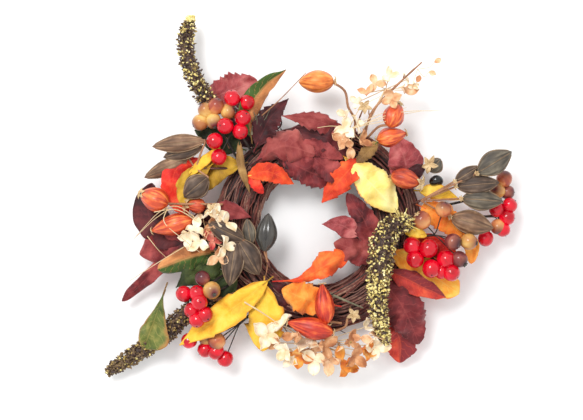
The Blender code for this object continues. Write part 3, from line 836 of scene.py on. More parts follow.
# Whether a leaf has a CAD node or is added here, its slot, its upper and lower finishes, its knots,
# its width and outline, then what differs.
CAD, ADDED = True, False
LEAVES = {
    "pink_upper_left": (
        CAD, "pink", "pink", "maroon", ((-84, 98, -14), (-66, 104, -10), (-46, 112, -9)), 30, "round",
        dict(fold=0.1, teeth=9, bite=0.2, ripple=0.2),
    ),
    "green_upper_left": (
        CAD, "green", "green_brown", "brown",
        ((-50, 68, 3), (-52, 86, 8), (-42, 104, 10), (-24, 118, 11)), 19, "long",
        dict(fold=0.35, curl=(0.5, 0.9), turn=(0, 25), ripple=0.12),
    ),
    "maroon_dark_upper": (
        ADDED, "maroon", "maroon_dark", "maroon", ((-46, 62, 3), (-36, 82, 6), (-22, 97, 5)), 24, "ovate",
        dict(teeth=10, bite=0.25, fold=0.35),
    ),
    "maroon_top_long": (
        CAD, "maroon", "maroon_light", "maroon_dark", ((-46, 50, 4), (-26, 61, 12), (-2, 55, 10)), 31,
        "broad", dict(teeth=8, bite=0.18, left=1.1, fold=-0.5, ripple=0.28),
    ),
    "maroon_top_outer": (
        CAD, "maroon", "maroon_light", "maroon_dark", ((20, 70, 6), (2, 79, 11), (-27, 84, 8)), 19,
        "ovate", dict(teeth=9, bite=0.25, turn=(-30, -10), curl=(0.4, 1.4)),
    ),
    "maroon_top_middle": (
        ADDED, "maroon", "maroon", "maroon_dark", ((-16, 62, 6), (0, 60, 8), (19, 52, 5)), 15, "round",
        dict(teeth=7, bite=0.25, ripple=0.2),
    ),
    "maroon_top_inner": (
        CAD, "maroon", "maroon", "maroon_dark", ((-26, 52, 3), (-6, 42, 4), (16, 35, 0)), 26, "round",
        dict(teeth=10, bite=0.22, fold=0.3, ripple=0.22),
    ),
    "maroon_top_back": (
        ADDED, "maroon", "maroon_dark", "maroon", ((28, 60, 1), (6, 68, 4), (-20, 74, 3)), 26, "round",
        dict(teeth=9, bite=0.2, ripple=0.25),
    ),
    "maroon_top_low": (
        ADDED, "maroon", "maroon_dark", "maroon", ((-34, 62, 1), (-16, 52, 2), (4, 50, 2)), 22, "round",
        dict(teeth=8, bite=0.2, ripple=0.22),
    ),
    "maroon_top_right": (
        ADDED, "maroon", "maroon", "maroon_dark", ((-8, 56, 5), (8, 44, 7), (20, 36, 3)), 20, "broad",
        dict(teeth=8, bite=0.2, ripple=0.25),
    ),
    "orange_top_inner": (
        ADDED, "orange", "orange_red", "orange_yellow", ((-53, 39, 4), (-37, 42, 8), (-18, 33, 3)), 17,
        "long", dict(turn=(12, -12), teeth=8, bite=0.15),
    ),
    "red_top_inner": (
        ADDED, "red", "red", "orange", ((-51, 40, 3), (-46, 32, 5), (-41, 26, 2)), 10, "round",
        dict(teeth=5, bite=0.2),
    ),
    "tan_narrow": (
        ADDED, "green", "brown", "green_dark", ((-59, 66, 6), (-57, 46, 7), (-51, 26, 3)), 7, "long",
        dict(curl=(1.3, 0.3), ripple=0.3),
    ),
    "olive_left": (
        ADDED, "yellow", "olive", "brown", ((-58, 48, 3), (-80, 42, 4), (-100, 18, 1)), 27, "long",
        dict(fold=0.15, left=0.8),
    ),
    "maroon_left_inner": (
        ADDED, "maroon", "maroon_dark", "maroon", ((-66, 10, 0), (-82, 2, 1), (-98, -4, -2)), 30, "round",
        dict(ripple=0.2),
    ),
    "dark_bottom": (
        ADDED, "maroon", "maroon_dark", "green_dark", ((-36, -42, -2), (-26, -54, -3), (-14, -66, -5)),
        23, "long", dict(ripple=0.3, fold=0.2),
    ),
    "yellow_curl": (
        ADDED, "yellow", "yellow", "olive", ((-96, 40, 8), (-86, 50, 11), (-73, 60, 9)), 9, "strap",
        dict(curl=(1.5, 0.2), ripple=0.1),
    ),
    "red_left": (
        CAD, "red", "red", "orange", ((-84, 52, 2), (-106, 44, 4), (-107, 26, 2), (-98, 10, 0)), 22,
        "broad", dict(fold=0.35, ripple=0.12, teeth=7, bite=0.12),
    ),
    "olive_behind_pod": (
        ADDED, "yellow", "olive", "yellow", ((-80, 47, 8), (-93, 37, 8), (-102, 17, 5)), 20, "broad",
        dict(ripple=0.1, fold=0.2),
    ),
    "maroon_left": (
        CAD, "maroon", "maroon_dark", "pink",
        ((-98, -10, -1), (-118, -2, -5), (-129, 14, -8), (-126, 34, -11)), 29, "round", dict(ripple=0.1),
    ),
    "maroon_left_lower": (
        ADDED, "maroon", "maroon", "pink", ((-84, -6, 0), (-108, -12, -3), (-135, -20, -8)), 30, "broad",
        dict(teeth=6, bite=0.25, ripple=0.2),
    ),
    "maroon_tail": (
        CAD, "maroon", "maroon", "pink",
        ((-94, -14, 0), (-114, -25, -5), (-130, -39, -8), (-149, -56, -13)), 12, "strap",
        dict(turn=(35, -35), ripple=0.35, waves=2.2),
    ),
    "maroon_under_pods": (
        ADDED, "maroon", "maroon", "maroon_dark", ((-80, 12, 4), (-66, 13, 6), (-50, 8, 4)), 17, "ovate",
        dict(teeth=6, bite=0.15),
    ),
    "green_folded": (
        CAD, "green", "green_brown", "green_dark", ((-76, -18, 5), (-96, -22, 9), (-120, -31, 3)), 27,
        "strap", dict(fold=-0.4, left=0.85, right=0.75, ripple=0.12, curl=(0.9, 0.5)),
    ),
    "green_under": (
        ADDED, "green", "green_dark", "green", ((-72, -20, 1), (-90, -32, 1), (-107, -45, -2)), 25,
        "ovate", dict(fold=0.3),
    ),
    "dark_upper_left": (
        ADDED, "green", "green_dark", "green", ((-58, 60, -2), (-74, 66, -1), (-93, 74, -4)), 22, "long",
        dict(ripple=0.25),
    ),
    "dark_berries_left": (
        ADDED, "maroon", "maroon_dark", "green_dark", ((-48, 62, -5), (-58, 74, -6), (-66, 92, -10)), 24,
        "long", dict(ripple=0.25),
    ),
    "dark_lower_left": (
        ADDED, "green", "green_dark", "maroon_dark", ((-62, -36, 0), (-76, -46, 1), (-88, -60, -3)), 26,
        "round", dict(ripple=0.25),
    ),
    "green_hanging": (
        CAD, "green", "green_striped", "brown", ((-115, -46, 1), (-122, -66, 0), (-132, -92, -5)), 32,
        "spoon", dict(fold=0.35, ripple=0.04, left=1.05, right=0.6, curl=(0.2, 1.1)),
    ),
    "yellow_lower_left": (
        CAD, "yellow", "yellow", "olive", ((-38, -40, 3), (-56, -54, 8), (-78, -70, 8), (-104, -88, 2)),
        26, "long", dict(fold=0.4, curl=(0.1, 0.5), ripple=0.16, waves=1.6, teeth=3, bite=0.2),
    ),
    "yellow_lower": (
        CAD, "yellow", "yellow", "orange_yellow", ((-40, -42, 0), (-38, -66, 4), (-42, -93, -5)), 37,
        "broad", dict(ripple=0.2, waves=1.8, teeth=3, bite=0.35, left=0.9),
    ),
    "orange_inner": (
        CAD, "orange", "orange", "red", ((-30, -40, 0), (-12, -38, 3), (6, -28, 6), (24, -19, 3)), 22,
        "spoon", dict(ripple=0.55, waves=2.2, teeth=6, bite=0.25, turn=(-20, 20), fold=-0.2),
    ),
    "orange_lower": (
        CAD, "orange", "orange_light", "red", ((13, -58, 4), (-6, -54, 8), (-27, -46, 5)), 28, "broad",
        dict(teeth=6, bite=0.2, ripple=0.25, fold=-0.2),
    ),
    "orange_strip": (
        ADDED, "orange", "orange_red", "green_dark", ((32, 52, 5), (20, 40, 8), (3, 19, 2)), 23, "long",
        dict(teeth=4, bite=0.3, ripple=0.25, curl=(0.2, 0.9), fold=0.2),
    ),
    "cream_right": (
        CAD, "cream", "cream", "orange_yellow", ((20, 53, 4), (35, 38, 9), (59, 12, 3)), 29, "broad",
        dict(teeth=17, bite=0.1, ripple=0.08, left=1.1, right=0.9, fold=-0.15),
    ),
    "green_small": (
        ADDED, "green", "brown", "green", ((44, 64, 6), (37, 57, 8), (29, 49, 6)), 12, "round",
        dict(teeth=6, bite=0.25, ripple=0.2),
    ),
    "maroon_inner_right": (
        CAD, "maroon", "maroon", "maroon_dark", ((44, -20, 1), (36, 3, 4), (22, 26, 2)), 21, "round",
        dict(ripple=0.1, teeth=7, bite=0.1),
    ),
    "pink_inner": (
        ADDED, "pink", "pink", "maroon", ((30, -6, 3), (18, 2, 4), (3, 3, 2)), 17, "ovate",
        dict(ripple=0.1),
    ),
    "maroon_inner_lower": (
        ADDED, "maroon", "maroon_light", "maroon", ((48, -28, 2), (32, -18, 5), (12, -11, 2)), 26,
        "broad", dict(ripple=0.2, teeth=3, bite=0.25, fold=-0.2),
    ),
    "maroon_right": (
        CAD, "maroon", "pink", "maroon", ((64, 30, 0), (66, 48, 3), (58, 68, 3)), 28, "round",
        dict(ripple=0.1),
    ),
    "maroon_small_right": (
        ADDED, "maroon", "maroon_dark", "maroon", ((66, 34, 7), (73, 42, 9), (80, 46, 7)), 12, "round",
        {},
    ),
    "yellow_right": (
        ADDED, "yellow", "yellow", "olive", ((76, 28, 2), (90, 27, 4), (107, 21, 2)), 13, "ovate",
        dict(ripple=0.06),
    ),
    "orange_behind_berries": (
        ADDED, "orange", "orange_light", "orange", ((78, 16, 0), (94, 8, 3), (108, -6, 0)), 23, "round",
        dict(teeth=7, bite=0.15, ripple=0.2),
    ),
    "orange_edge": (
        ADDED, "orange", "orange_light", "orange", ((104, -4, -2), (115, -12, 0), (116, -27, -4)), 13,
        "round", dict(ripple=0.1),
    ),
    "red_behind_berries": (
        ADDED, "red", "red", "orange", ((74, -8, 0), (88, -16, 2), (106, -26, 0)), 22, "round",
        dict(ripple=0.2),
    ),
    "orange_right": (
        CAD, "orange", "orange_yellow", "orange", ((54, -17, -2), (82, -33, 0), (107, -50, -8)), 36,
        "broad", dict(teeth=9, bite=0.12, ripple=0.1),
    ),
    "yellow_small": (
        ADDED, "yellow", "yellow", "olive", ((64, -2, 9), (73, -3, 12), (81, -6, 9)), 9, "round", {},
    ),
    "maroon_fold_right": (
        ADDED, "maroon", "red_maroon", "maroon_dark", ((54, -32, 2), (74, -42, 6), (96, -52, 1)), 19,
        "long", dict(ripple=0.2, curl=(1.1, 0.3), turn=(0, 20)),
    ),
    "maroon_lower_right": (
        CAD, "maroon", "maroon", "red", ((48, -38, 1), (64, -60, 3), (77, -88, -8)), 34, "round",
        dict(teeth=12, bite=0.14, ripple=0.14),
    ),
    "red_lower_right": (
        CAD, "red", "red_maroon", "red", ((50, -64, -3), (62, -84, -7), (63, -103, -15)), 28, "broad",
        dict(teeth=7, bite=0.15),
    ),
    "maroon_tip_bottom": (
        ADDED, "maroon", "maroon", "maroon_dark", ((47, -70, -3), (49, -82, -5), (49, -94, -9)), 9,
        "ovate", {},
    ),
}


def make_leaves():
    for kind, (in_cad, slot, upper, lower, knots, width, outline, changes) in LEAVES.items():
        name = "leaf_" + kind
        piece = Piece(name + "_blade")
        blade(piece, name, knots, width, outline, **changes)
        base, onward = np.array(knots[0], float), np.array(knots[1], float)
        inward = base + (base - onward) * 0.25 - 2.5 * UP
        stalk(piece, (inward, base, base * 0.8 + onward * 0.2 + 0.3 * UP))
        piece.build([PAINTS[upper], PAINTS[lower]], "wreath", [name] if in_cad else ())


# ---- Berries ----------------------------------------------------------------------------------

def berry(piece, dice, centre, hub, radius, paint, tip_paint, crown=0.0):
    """A berry facing away from its wire, a little dented, with a pip or a crown at its tip."""
    away = unit(unit(centre - hub) + 0.35 * UP)
    across, up = square_to(away)
    polar = np.linspace(0.02, math.pi - 0.02, 19)
    turn = full_turn(28)
    profile = np.sin(polar) * (1.0 + 0.03 * np.cos(2 * polar))
    height = -np.cos(polar) * (1.0 + 0.02 * dice.standard_normal())
    height = height + 0.07 * np.exp(-((polar / 0.3) ** 2)) - 0.05 * np.exp(-(((math.pi - polar) / 0.25) ** 2))
    lumps = 1.0 + 0.012 * np.cos(2 * turn + dice.uniform(0, 6))[None] * np.sin(polar)[:, None]
    rows = (
        centre
        + (radius * profile[:, None] * lumps)[..., None]
        * (np.cos(turn)[None, :, None] * across + np.sin(turn)[None, :, None] * up)
        + (radius * height)[:, None, None] * away
    )
    piece.tube(rows, paint)
    tip = centre + away * radius * 0.93
    if crown:
        for number in range(5):
            spin = 2.0 * math.pi * number / 5 + dice.uniform(-0.2, 0.2)
            out = math.cos(spin) * across + math.sin(spin) * up
            points = path(
                [
                    tip,
                    tip + away * 0.7 * MM + out * crown * 0.45 * MM,
                    tip + away * 0.9 * MM + out * crown * MM,
                ],
                8,
            )
            piece.tube(skin(points, CROWN_RADII, 7), tip_paint)
    pip = path([tip - away * 0.3 * MM, tip + away * 0.55 * MM], 5)
    piece.tube(skin(pip, np.array([0.9, 0.95, 0.8, 0.55, 0.2]) * MM * (1.3 if crown else 0.75), 8), tip_paint)


def wire(piece, knots, radius=0.5, paint=0, count=22):
    points = path(knots, count)
    piece.tube(skin(points, radius * MM, 7), paint)


def stem(piece, seat, knot, rise, radius, paint=0):
    """A bowed stem from its seat in the ring to the knot where its heads part. Returns its foot."""
    foot = ring(*seat, -3.0)
    wire(piece, [foot, (foot + knot) / 2.0 + rise * MM * UP, knot], radius, paint)
    return foot


# Name: body, seat (bearing, out), hub, then berries (x, y, lift, radius, kind).
BERRIES = {
    "red_berries_upper_left": (
        "wreath", (131, -6), (-62, 76, 8),
        (
            (-64, 97, 12, 6.2, "r"), (-53, 94, 9, 6.0, "r"), (-56, 82, 13, 6.2, "r"),
            (-69, 76, 14, 6.3, "r"), (-58, 72, 12, 6.0, "r"), (-77, 65, 12, 6.2, "r"),
            (-74, 53, 10, 6.2, "r"),
        ),
    ),
    "red_berries_lower_left": (
        "wreath", (213, -8), (-90, -56, 9),
        (
            (-100, -49, 10, 6.2, "r"), (-90, -48, 14, 6.0, "r"), (-88, -55, 16, 6.4, "r"),
            (-94, -61, 12, 6.0, "r"), (-84, -64, 14, 6.3, "r"), (-90, -68, 13, 6.2, "r"),
        ),
    ),
    "berry_fan_lower_left": (
        "berry_fan", (233, -4), (-59, -72, 2),
        (
            (-97, -85, -2, 6.1, "r"), (-85, -92, -5, 6.1, "r"), (-77, -93, -2, 6.4, "r"),
            (-70, -99, -6, 6.2, "r"), (-76, -85, 1, 6.8, "b"), (-84, -84, -5, 5.8, "t"),
        ),
    ),
    "red_berries_centre_right": (
        "wreath", (346, -12), (84, -21, 8),
        (
            (70, -13, 12, 6.9, "r"), (82, -15, 14, 7.2, "r"), (72, -23, 13, 6.7, "r"),
            (95, -23, 12, 7.0, "r"), (84, -30, 13, 7.0, "r"), (92, -32, 9, 6.2, "r"),
            (99, -33, 12, 6.7, "r"),
        ),
    ),
    "red_berries_far_right": (
        "right_spray", (5, -4), (136, 9, -4),
        (
            (145, 17, -4, 6.0, "r"), (135, 14, -3, 6.0, "r"), (143, 8, -4, 6.1, "r"),
            (140, -1, -5, 5.8, "r"), (127, -8, -5, 6.0, "r"),
        ),
    ),
    "tan_berries_upper_left": (
        "wreath", (141, -6), (-79, 84, 8),
        (
            (-76, 91, 10, 6.2, "b"), (-84, 88, 8, 5.8, "t"), (-88, 79, 7, 6.4, "t"),
            (-78, 80, 9, 6.0, "d"), (-67, 87, 9, 6.0, "c"),
        ),
    ),
    "tan_berries_lower_left": (
        "wreath", (206, -7), (-82, -42, 10), ((-86, -37, 13, 5.8, "p"), (-79, -46, 15, 6.8, "c")),
    ),
    "tan_berries_centre_right": (
        "wreath", (354, -10), (87, -5, 11),
        (
            (77, 6, 15, 7.0, "s"), (93, 14, 14, 6.2, "b"), (100, -10, 15, 6.4, "p"),
            (112, -10, 12, 6.2, "c"), (105, -23, 13, 6.2, "e"),
        ),
    ),
    "tan_berries_far_right": (
        "right_spray", (9, -4), (139, 27, -8),
        (
            (141, 37, -5, 6.3, "b"), (136, 28, -5, 6.0, "t"), (144, 27, -9, 5.6, "p"),
            (136, 1, -4, 5.8, "b"),
        ),
    ),
}

CROWN_RADII = np.array([0.4, 0.62, 0.7, 0.68, 0.6, 0.48, 0.34, 0.12]) * MM
BERRY_PAINTS = ("wire_dark", "berry_red", "berry_tan", "berry_plum", "berry_cap", "calyx", "berry_blush")
# The numbers of a kind's skin and tip among them, and the reach of its crown in mm.
BERRY_KINDS = {
    "r": (1, 0, 0.0),
    "t": (2, 4, 0.0),
    "p": (3, 4, 0.0),
    "b": (6, 4, 0.0),
    "c": (2, 4, 1.9),
    "d": (2, 4, 1.5),
    "e": (3, 4, 2.3),
    "s": (6, 5, 2.6),
}


def make_berries():
    paints = [PAINTS[key] for key in BERRY_PAINTS]
    for number, (name, (body, seat, hub, berries)) in enumerate(BERRIES.items()):
        dice = np.random.default_rng(300 + number)
        piece = Piece(name + "_glossy")
        knot = at(*hub)
        foot = stem(piece, seat, knot, 2.0, 1.0)
        for x, y, lift, radius, kind in berries:
            centre = at(x, y, lift)
            paint, tip_paint, crown = BERRY_KINDS[kind]
            berry(piece, dice, centre, knot, radius * MM, paint, tip_paint, crown)
            reach = centre - knot
            sag = dice.uniform(-1.5, 0.5) * MM * UP
            bend = [foot * 0.15 + knot * 0.85, knot + reach * 0.1, knot + reach * 0.55 + sag, centre]
            wire(piece, bend, 0.45)
        piece.build(paints, body, [name])


# ---- Pods, husks and stars --------------------------------------------------------------------

def pod(piece, base, tip, width, paint, rim_paint, ridges=5, flatness=0.6):
    """An almond-shaped seed case: ridged halves that meet in a raised seam, and a beak."""
    length = np.linalg.norm(tip - base)
    middle = (base + tip) / 2.0 + 0.06 * length * UP
    points = path([base, middle, tip], 34)
    share = np.linspace(0.0, 1.0, 34)
    half = width * MM / 2.0 * (np.sin(math.pi * share**0.9) ** 0.85 * 0.97 + 0.03)
    sides = 40
    turn = full_turn(sides)
    ridge = 1.0 + 0.045 * np.cos(ridges * 2 * turn) + 0.12 * np.exp(-((np.sin(turn) / 0.12) ** 2))
    ridge = ridge - 0.10 * np.exp(-((np.cos(turn) / 0.1) ** 2)) * (np.sin(turn) > 0)
    rows = skin(points, half, sides, flatness=flatness)
    centre = points[:, None]
    rows = centre + (rows - centre) * ridge[None, :, None]
    piece.tube(rows, paint)
    _, across, up = frames(points)
    for sign in (-1.0, 1.0):
        line = points + sign * half[:, None] * 1.06 * across + 0.2 * MM * up
        piece.tube(skin(line[2:-2], 0.42 * MM, 6), rim_paint)
    seam = points + half[:, None] * flatness * 0.93 * up
    piece.tube(skin(seam[3:-3], 0.3 * MM, 6), rim_paint)


# Name, which is also its CAD node: body, slot, seat, hub, then pods (base, tip, width, finish).
PODS = {
    "pods_left": (
        "wreath", "pod", (141, -8), (154, 22, 9),
        (
            ((-84, 65, 12), (-124, 61, 6), 12, "pod_warm"), ((-86, 61, 8), (-116, 53, 3), 11, "pod"),
            ((-97, 52, 4), (-131, 38, -4), 11, "pod_warm"), ((-82, 38, 11), (-100, 23, 10), 16, "pod"),
        ),
    ),
    "pods_centre": (
        "wreath", "pod", (196, -14), (188, -19, 11),
        (
            ((-55, -9, 11), (-82, 4, 14), 14, "pod"), ((-61, -9, 12), (-66, -43, 13), 15, "pod"),
            ((-60, -8, 10), (-44, -35, 7), 17, "pod"), ((-50, -12, 8), (-53, 7, 8), 9, "pod_grey"),
        ),
    ),
    "pod_dark": (
        "wreath", "pod_dark", (222, -32), (214, -34, 4), (((-40, -18, 6), (-37, 11, 7), 14, "pod_dark"),),
    ),
    "pods_right": (
        "right_spray", "pod", (14, -6), (15, 0, 7),
        (
            ((118, 41, 14), (144, 57, 12), 16, "pod_grey"), ((103, 31, 9), (135, 34, 11), 13, "pod"),
            ((102, 35, 11), (120, 46, 12), 9, "pod"), ((107, 22, 8), (138, 20, 9), 14, "pod_slate"),
            ((99, 8, 7), (131, 0, 8), 16, "pod_warm"),
        ),
    ),
}


POD_FINISHES = (
    "pod", "pod_rim", "twig_bark", "pod_grey", "pod_dark", "pod_warm", "calyx", "pod_slate", "vine_bark",
)
POD_PAINTS = {finish: number for number, finish in enumerate(POD_FINISHES)}


def make_pods():
    for name, (body, slot, seat, hub, pods) in PODS.items():
        dice = np.random.default_rng(77)
        piece = Piece(name + "_ridged")
        knot = ring(*hub)
        stem(piece, seat, knot, 2.0, 0.9, POD_PAINTS["vine_bark"])
        paints = [PAINTS[key] for key in POD_FINISHES]
        for base, tip, width, finish in pods:
            base, tip = at(*base), at(*tip)
            paint = POD_PAINTS[finish]
            pod(piece, base, tip, width, paint, paint if finish == "pod_dark" else POD_PAINTS["pod_rim"])
            if name == "pods_right":
                facing = unit(base - tip) + 0.8 * UP
                star(piece, dice, base + 1.5 * MM * UP, facing, 2.6, POD_PAINTS["calyx"], points=6)
            bend = knot + (base - knot) * 0.5 + MM * UP
            wire(piece, [knot, bend, base, base + (tip - base) * 0.1], 0.75, POD_PAINTS["twig_bark"])
        piece.build(paints, body, [name])


def star(piece, dice, centre, facing, size, paint, points=5):
    """A dried calyx: pointed sepals that curl back round a small cup."""
    facing = unit(facing)
    across, up = square_to(facing)
    for number in range(points):
        spin = 2.0 * math.pi * number / points + dice.uniform(-0.2, 0.2)
        out = math.cos(spin) * across + math.sin(spin) * up
        beside = np.cross(facing, out)
        share = np.linspace(0.0, 1.0, 14)
        reach = size * MM * share * dice.uniform(0.85, 1.1)
        rise = size * MM * (0.35 * np.sin(math.pi * share * 0.7) - 0.2 * share**2)
        spine = centre + reach[:, None] * out + rise[:, None] * facing
        half = size * MM * 0.27 * np.sin(math.pi * (0.12 + 0.86 * share)) ** 0.9
        side = np.linspace(1.0, -1.0, 7)
        grid = spine[:, None] + (half[:, None] * side[None])[..., None] * beside
        grid = grid + (np.abs(side)[None] * half[:, None] * 0.5)[..., None] * facing
        piece.slab(grid, 0.4 * MM, paint, paint)
    cup = path([centre - facing * 1.5 * MM, centre + facing * 0.9 * MM], 6)
    piece.tube(skin(cup, np.array([0.3, 0.8, 1.0, 1.0, 0.8, 0.4]) * size * 0.22 * MM, 9), paint)


# Name: body, stem knots, body knots, half width, finish, tip style; knots are (bearing, out, lift).
HUSKS = {
    "husk_top_drooping": (
        "drooping_husk", ((68, -8, 1.6), (71, 6, 3), (76, 14, 6), (79, 25, 7)),
        ((84, 31, 5), (97, 31, 2)), 8.2, "husk_tan", "pips",
    ),
    "husk_upper_right_outer": (
        "wreath", ((61, -1, 1.6), (59, 9, 7)), ((55, 13, 10), (57, 31, 3)), 7.8, "husk", "crown",
    ),
    "husk_upper_right_inner": (
        "wreath", ((54, -10, 3), (54, -4, 3)), ((56, 0, 3), (47, 18, 1)), 7.4, "husk", "tip",
    ),
    "husk_right": (
        "wreath", ((36, -14, 6), (36, -13, 9)), ((36, -12, 12), (24, 3, 12)), 7.2, "husk_brown", "star",
    ),
    "husk_left_upper": (
        "wreath", ((166, -6, 8), (169, 15, 11)), ((171, 34, 9), (169, 55, 4)), 8.8, "husk", "crown",
    ),
    "husk_left_lower": (
        "wreath", ((180, -8, 2), (177, 6, 3)), ((176, 14, 8), (181, 45, 4)), 7.6, "husk", "tip",
    ),
    "husk_bottom_open": (
        "wreath", ((284, -6, 5), (280, -8, 7)), ((275, -8, 14), (274, -38, 12)), 7.2, "husk_red", "open",
    ),
    "husk_left_hidden": (
        "wreath", ((171, -8, 3), (170, 2, 5)), ((169, 6, 6), (170, 20, 5)), 5.6, "husk_brown", "star",
    ),
    "husk_bottom": (
        "wreath", ((288, -8, 4), (285, -3, 9)), ((278, -1, 14), (252, -6, 14)), 7.8, "husk_red", "tip",
    ),
}


def make_husks():
    paints = [PAINTS["twig_bark"], None, PAINTS["berry_cap"], PAINTS["calyx"]]
    for number, (name, (body, stem, swell, half, finish, style)) in enumerate(HUSKS.items()):
        dice = np.random.default_rng(500 + number)
        piece = Piece(name + "_ribbed")
        paints[1] = PAINTS[finish]
        stem = [ring(*knot) for knot in stem]
        start, end = (ring(*knot) for knot in swell)
        middle = (start + end) / 2.0 + 1.2 * MM * UP
        points = path([start, middle, end], 36)
        share = np.linspace(0.0, 1.0, 36)
        shape = np.sin(math.pi * (0.03 + 0.94 * share**0.85)) ** 0.62
        if style in ("tip", "open"):
            shape = np.sin(math.pi * (0.03 + 0.95 * share**0.8)) ** 0.85
        rows = skin(points, half * MM * shape, 48, ribs=8, rib_depth=0.035)
        lumps = 1.0 + 0.018 * np.sin(7 * share + dice.uniform(0, 6))[:, None, None]
        rows = points[:, None] + (rows - points[:, None]) * lumps
        piece.tube(rows, 1)
        wire(piece, [*stem, start + (end - start) * 0.06], 0.95, 0)
        facing = unit(end - start)
        if style == "crown":
            end = end + 3.0 * MM * UP
            facing = unit(facing + 0.9 * UP)
            star(piece, dice, end - facing * 0.4 * MM, facing, 4.6, 3, 6)
            cup = path([end - facing * 2.0 * MM, end + facing * 0.8 * MM], 6)
            piece.tube(skin(cup, np.array([1.6, 1.9, 2.0, 1.9, 1.5, 0.8]) * MM, 12), 2)
        elif style == "pips":
            cup = path([end - facing * MM, end + facing * 1.0 * MM], 6)
            piece.tube(skin(cup, np.array([1.2, 1.5, 1.6, 1.4, 1.0, 0.5]) * MM, 12), 3)
            star(piece, dice, start - facing * 0.5 * MM, -facing, 4.0, 3, 5)
        elif style == "star":
            star(piece, dice, end - facing * 0.2 * MM, facing + 0.6 * UP, 6.5, 3, 5)
        else:
            star(piece, dice, end - facing * 0.8 * MM, facing, 3.4, 3, 5)
            star(piece, dice, start + facing * 0.4 * MM, -facing, 3.8, 3, 5)
        piece.build(paints, body, [] if name == "husk_left_hidden" else [name])


# ---- Seed heads -------------------------------------------------------------------------------

def grain(piece, dice, root, out, along, length, width, bend, paint):
    """A small curved husk of grain, rooted in the head and leaning along it."""
    spread = out * dice.uniform(0.3, 1.1) + along * dice.uniform(-0.2, 1.0)
    heading = unit(spread + 0.6 * dice.standard_normal(3))
    side = unit(np.cross(heading, out + 0.2 * dice.standard_normal(3)))
    hook = np.cross(side, heading) * bend
    share = np.linspace(0.0, 1.0, 6)
    points = root + length * (share[:, None] * heading + (share**2)[:, None] * hook)
    radii = width * np.array([0.5, 0.95, 1.05, 1.0, 0.8, 0.35])
    turn = full_turn(5)
    lift = np.cross(side, heading)
    rows = points[:, None] + radii[:, None, None] * (
        np.cos(turn)[None, :, None] * side + 0.55 * np.sin(turn)[None, :, None] * lift
    )
    piece.tube(rows, paint)


# Name: knots, share of bare stem, (share, radius mm) of the head, grains,
# chances of dark, brown, olive and pale grains along its first half and its second half.
SPIKES = {
    "spike_upper_left": (
        (
            (-66, 60, 2), (-76, 84, -2), (-84, 97, -3), (-91, 109, -3), (-97, 124, -4), (-100, 140, -5),
            (-98, 150, -6), (-96, 160, -7),
        ),
        0.37, ((0.0, 8.4), (0.25, 8.0), (0.6, 7.6), (0.85, 7.4), (0.93, 4.0), (1.0, 3.2)), 1200,
        (0.52, 0.18, 0.1, 0.2), (0.52, 0.2, 0.1, 0.18),
    ),
    "spike_lower_left": (
        (
            (-54, -46, 3), (-80, -55, 1), (-96, -62, -3), (-114, -79, -9), (-132, -92, -12),
            (-146, -101, -14), (-160, -110, -15),
        ),
        0.2, ((0.0, 8.0), (0.2, 9.0), (0.45, 8.8), (0.7, 9.0), (0.9, 6.8), (1.0, 3.6)), 1800,
        (0.4, 0.46, 0.12, 0.02), (0.26, 0.54, 0.16, 0.04),
    ),
    "spike_right": (
        (
            (74, 2, 12), (60, 4, 17), (50, -5, 20), (46, -24, 20), (44, -50, 18), (46, -68, 13),
            (51, -85, 6),
        ),
        0.05, ((0.0, 7.0), (0.12, 10.5), (0.3, 12.8), (0.5, 11.2), (0.75, 9.0), (0.9, 6.0), (1.0, 3.0)),
        2400, (0.44, 0.14, 0.16, 0.26), (0.3, 0.1, 0.16, 0.44),
    ),
}


GRAIN_PAINTS = ("grain_dark", "grain_brown", "grain_olive", "grain_pale", "twig_bark")
PALE_GRAIN = 3


def make_spikes():
    paints = [PAINTS[key] for key in GRAIN_PAINTS]
    for number, (name, (knots, bare, swell, count, early, late)) in enumerate(SPIKES.items()):
        dice = np.random.default_rng(700 + number)
        piece = Piece(name + "_grains")
        spine = path([at(*knot) for knot in knots], 80)
        first = int(80 * bare)
        wire(piece, spine[::8][: max(3, first // 8 + 2)], 1.1, 4, 30)
        head = path(spine[first:], 60)
        share = np.linspace(0.0, 1.0, 60)
        reach = np.interp(share, *zip(*swell)) * MM
        lumps = 1.0 + 0.12 * dice.standard_normal((60, 14))
        piece.tube(skin(head, reach * 0.5 * round_ends(share, 0.35), 14, dents=lumps - 1.0), 0)
        along, across, up = frames(head)
        for _ in range(count):
            place = dice.random() ** 0.92
            row = min(59, int(place * 60))
            spin = dice.uniform(0.0, 2.0 * math.pi)
            out = math.cos(spin) * across[row] + math.sin(spin) * up[row]
            root = head[row] + out * reach[row] * dice.uniform(0.4, 0.78)
            chances = early if place < 0.5 else late
            paint = dice.choice(4, p=np.array(chances) / sum(chances))
            if place > 0.93 and name == "spike_upper_left":
                paint = PALE_GRAIN
            plump = 1.3 if paint == PALE_GRAIN or name == "spike_lower_left" else 1.0
            length = dice.uniform(1.6, 2.8) / plump * MM
            width = dice.uniform(0.6, 1.0) * plump * MM
            grain(piece, dice, root, out, along[row], length, width, dice.uniform(-0.9, 0.9), int(paint))
        if name == "spike_right":
            add_straw_top(piece, dice, head[4])
        piece.build(paints, name, [name])


def add_straw_top(piece, dice, root):
    """The pale straws that the right-hand head is tied off with."""
    for _ in range(26):
        spin = dice.uniform(-0.9, 2.6)
        reach = dice.uniform(6.0, 14.0) * MM
        heading = np.array([math.cos(spin), math.sin(spin), dice.uniform(0.0, 0.4)])
        tip = root + heading * reach
        points = path([root - heading * 4 * MM, root + heading * reach * 0.5 + 1.5 * MM * UP, tip], 9)
        piece.tube(skin(points, np.linspace(0.55, 0.25, 9) * MM, 5), int(dice.choice([2, 3, 3])))


# ---- Blossoms ---------------------------------------------------------------------------------

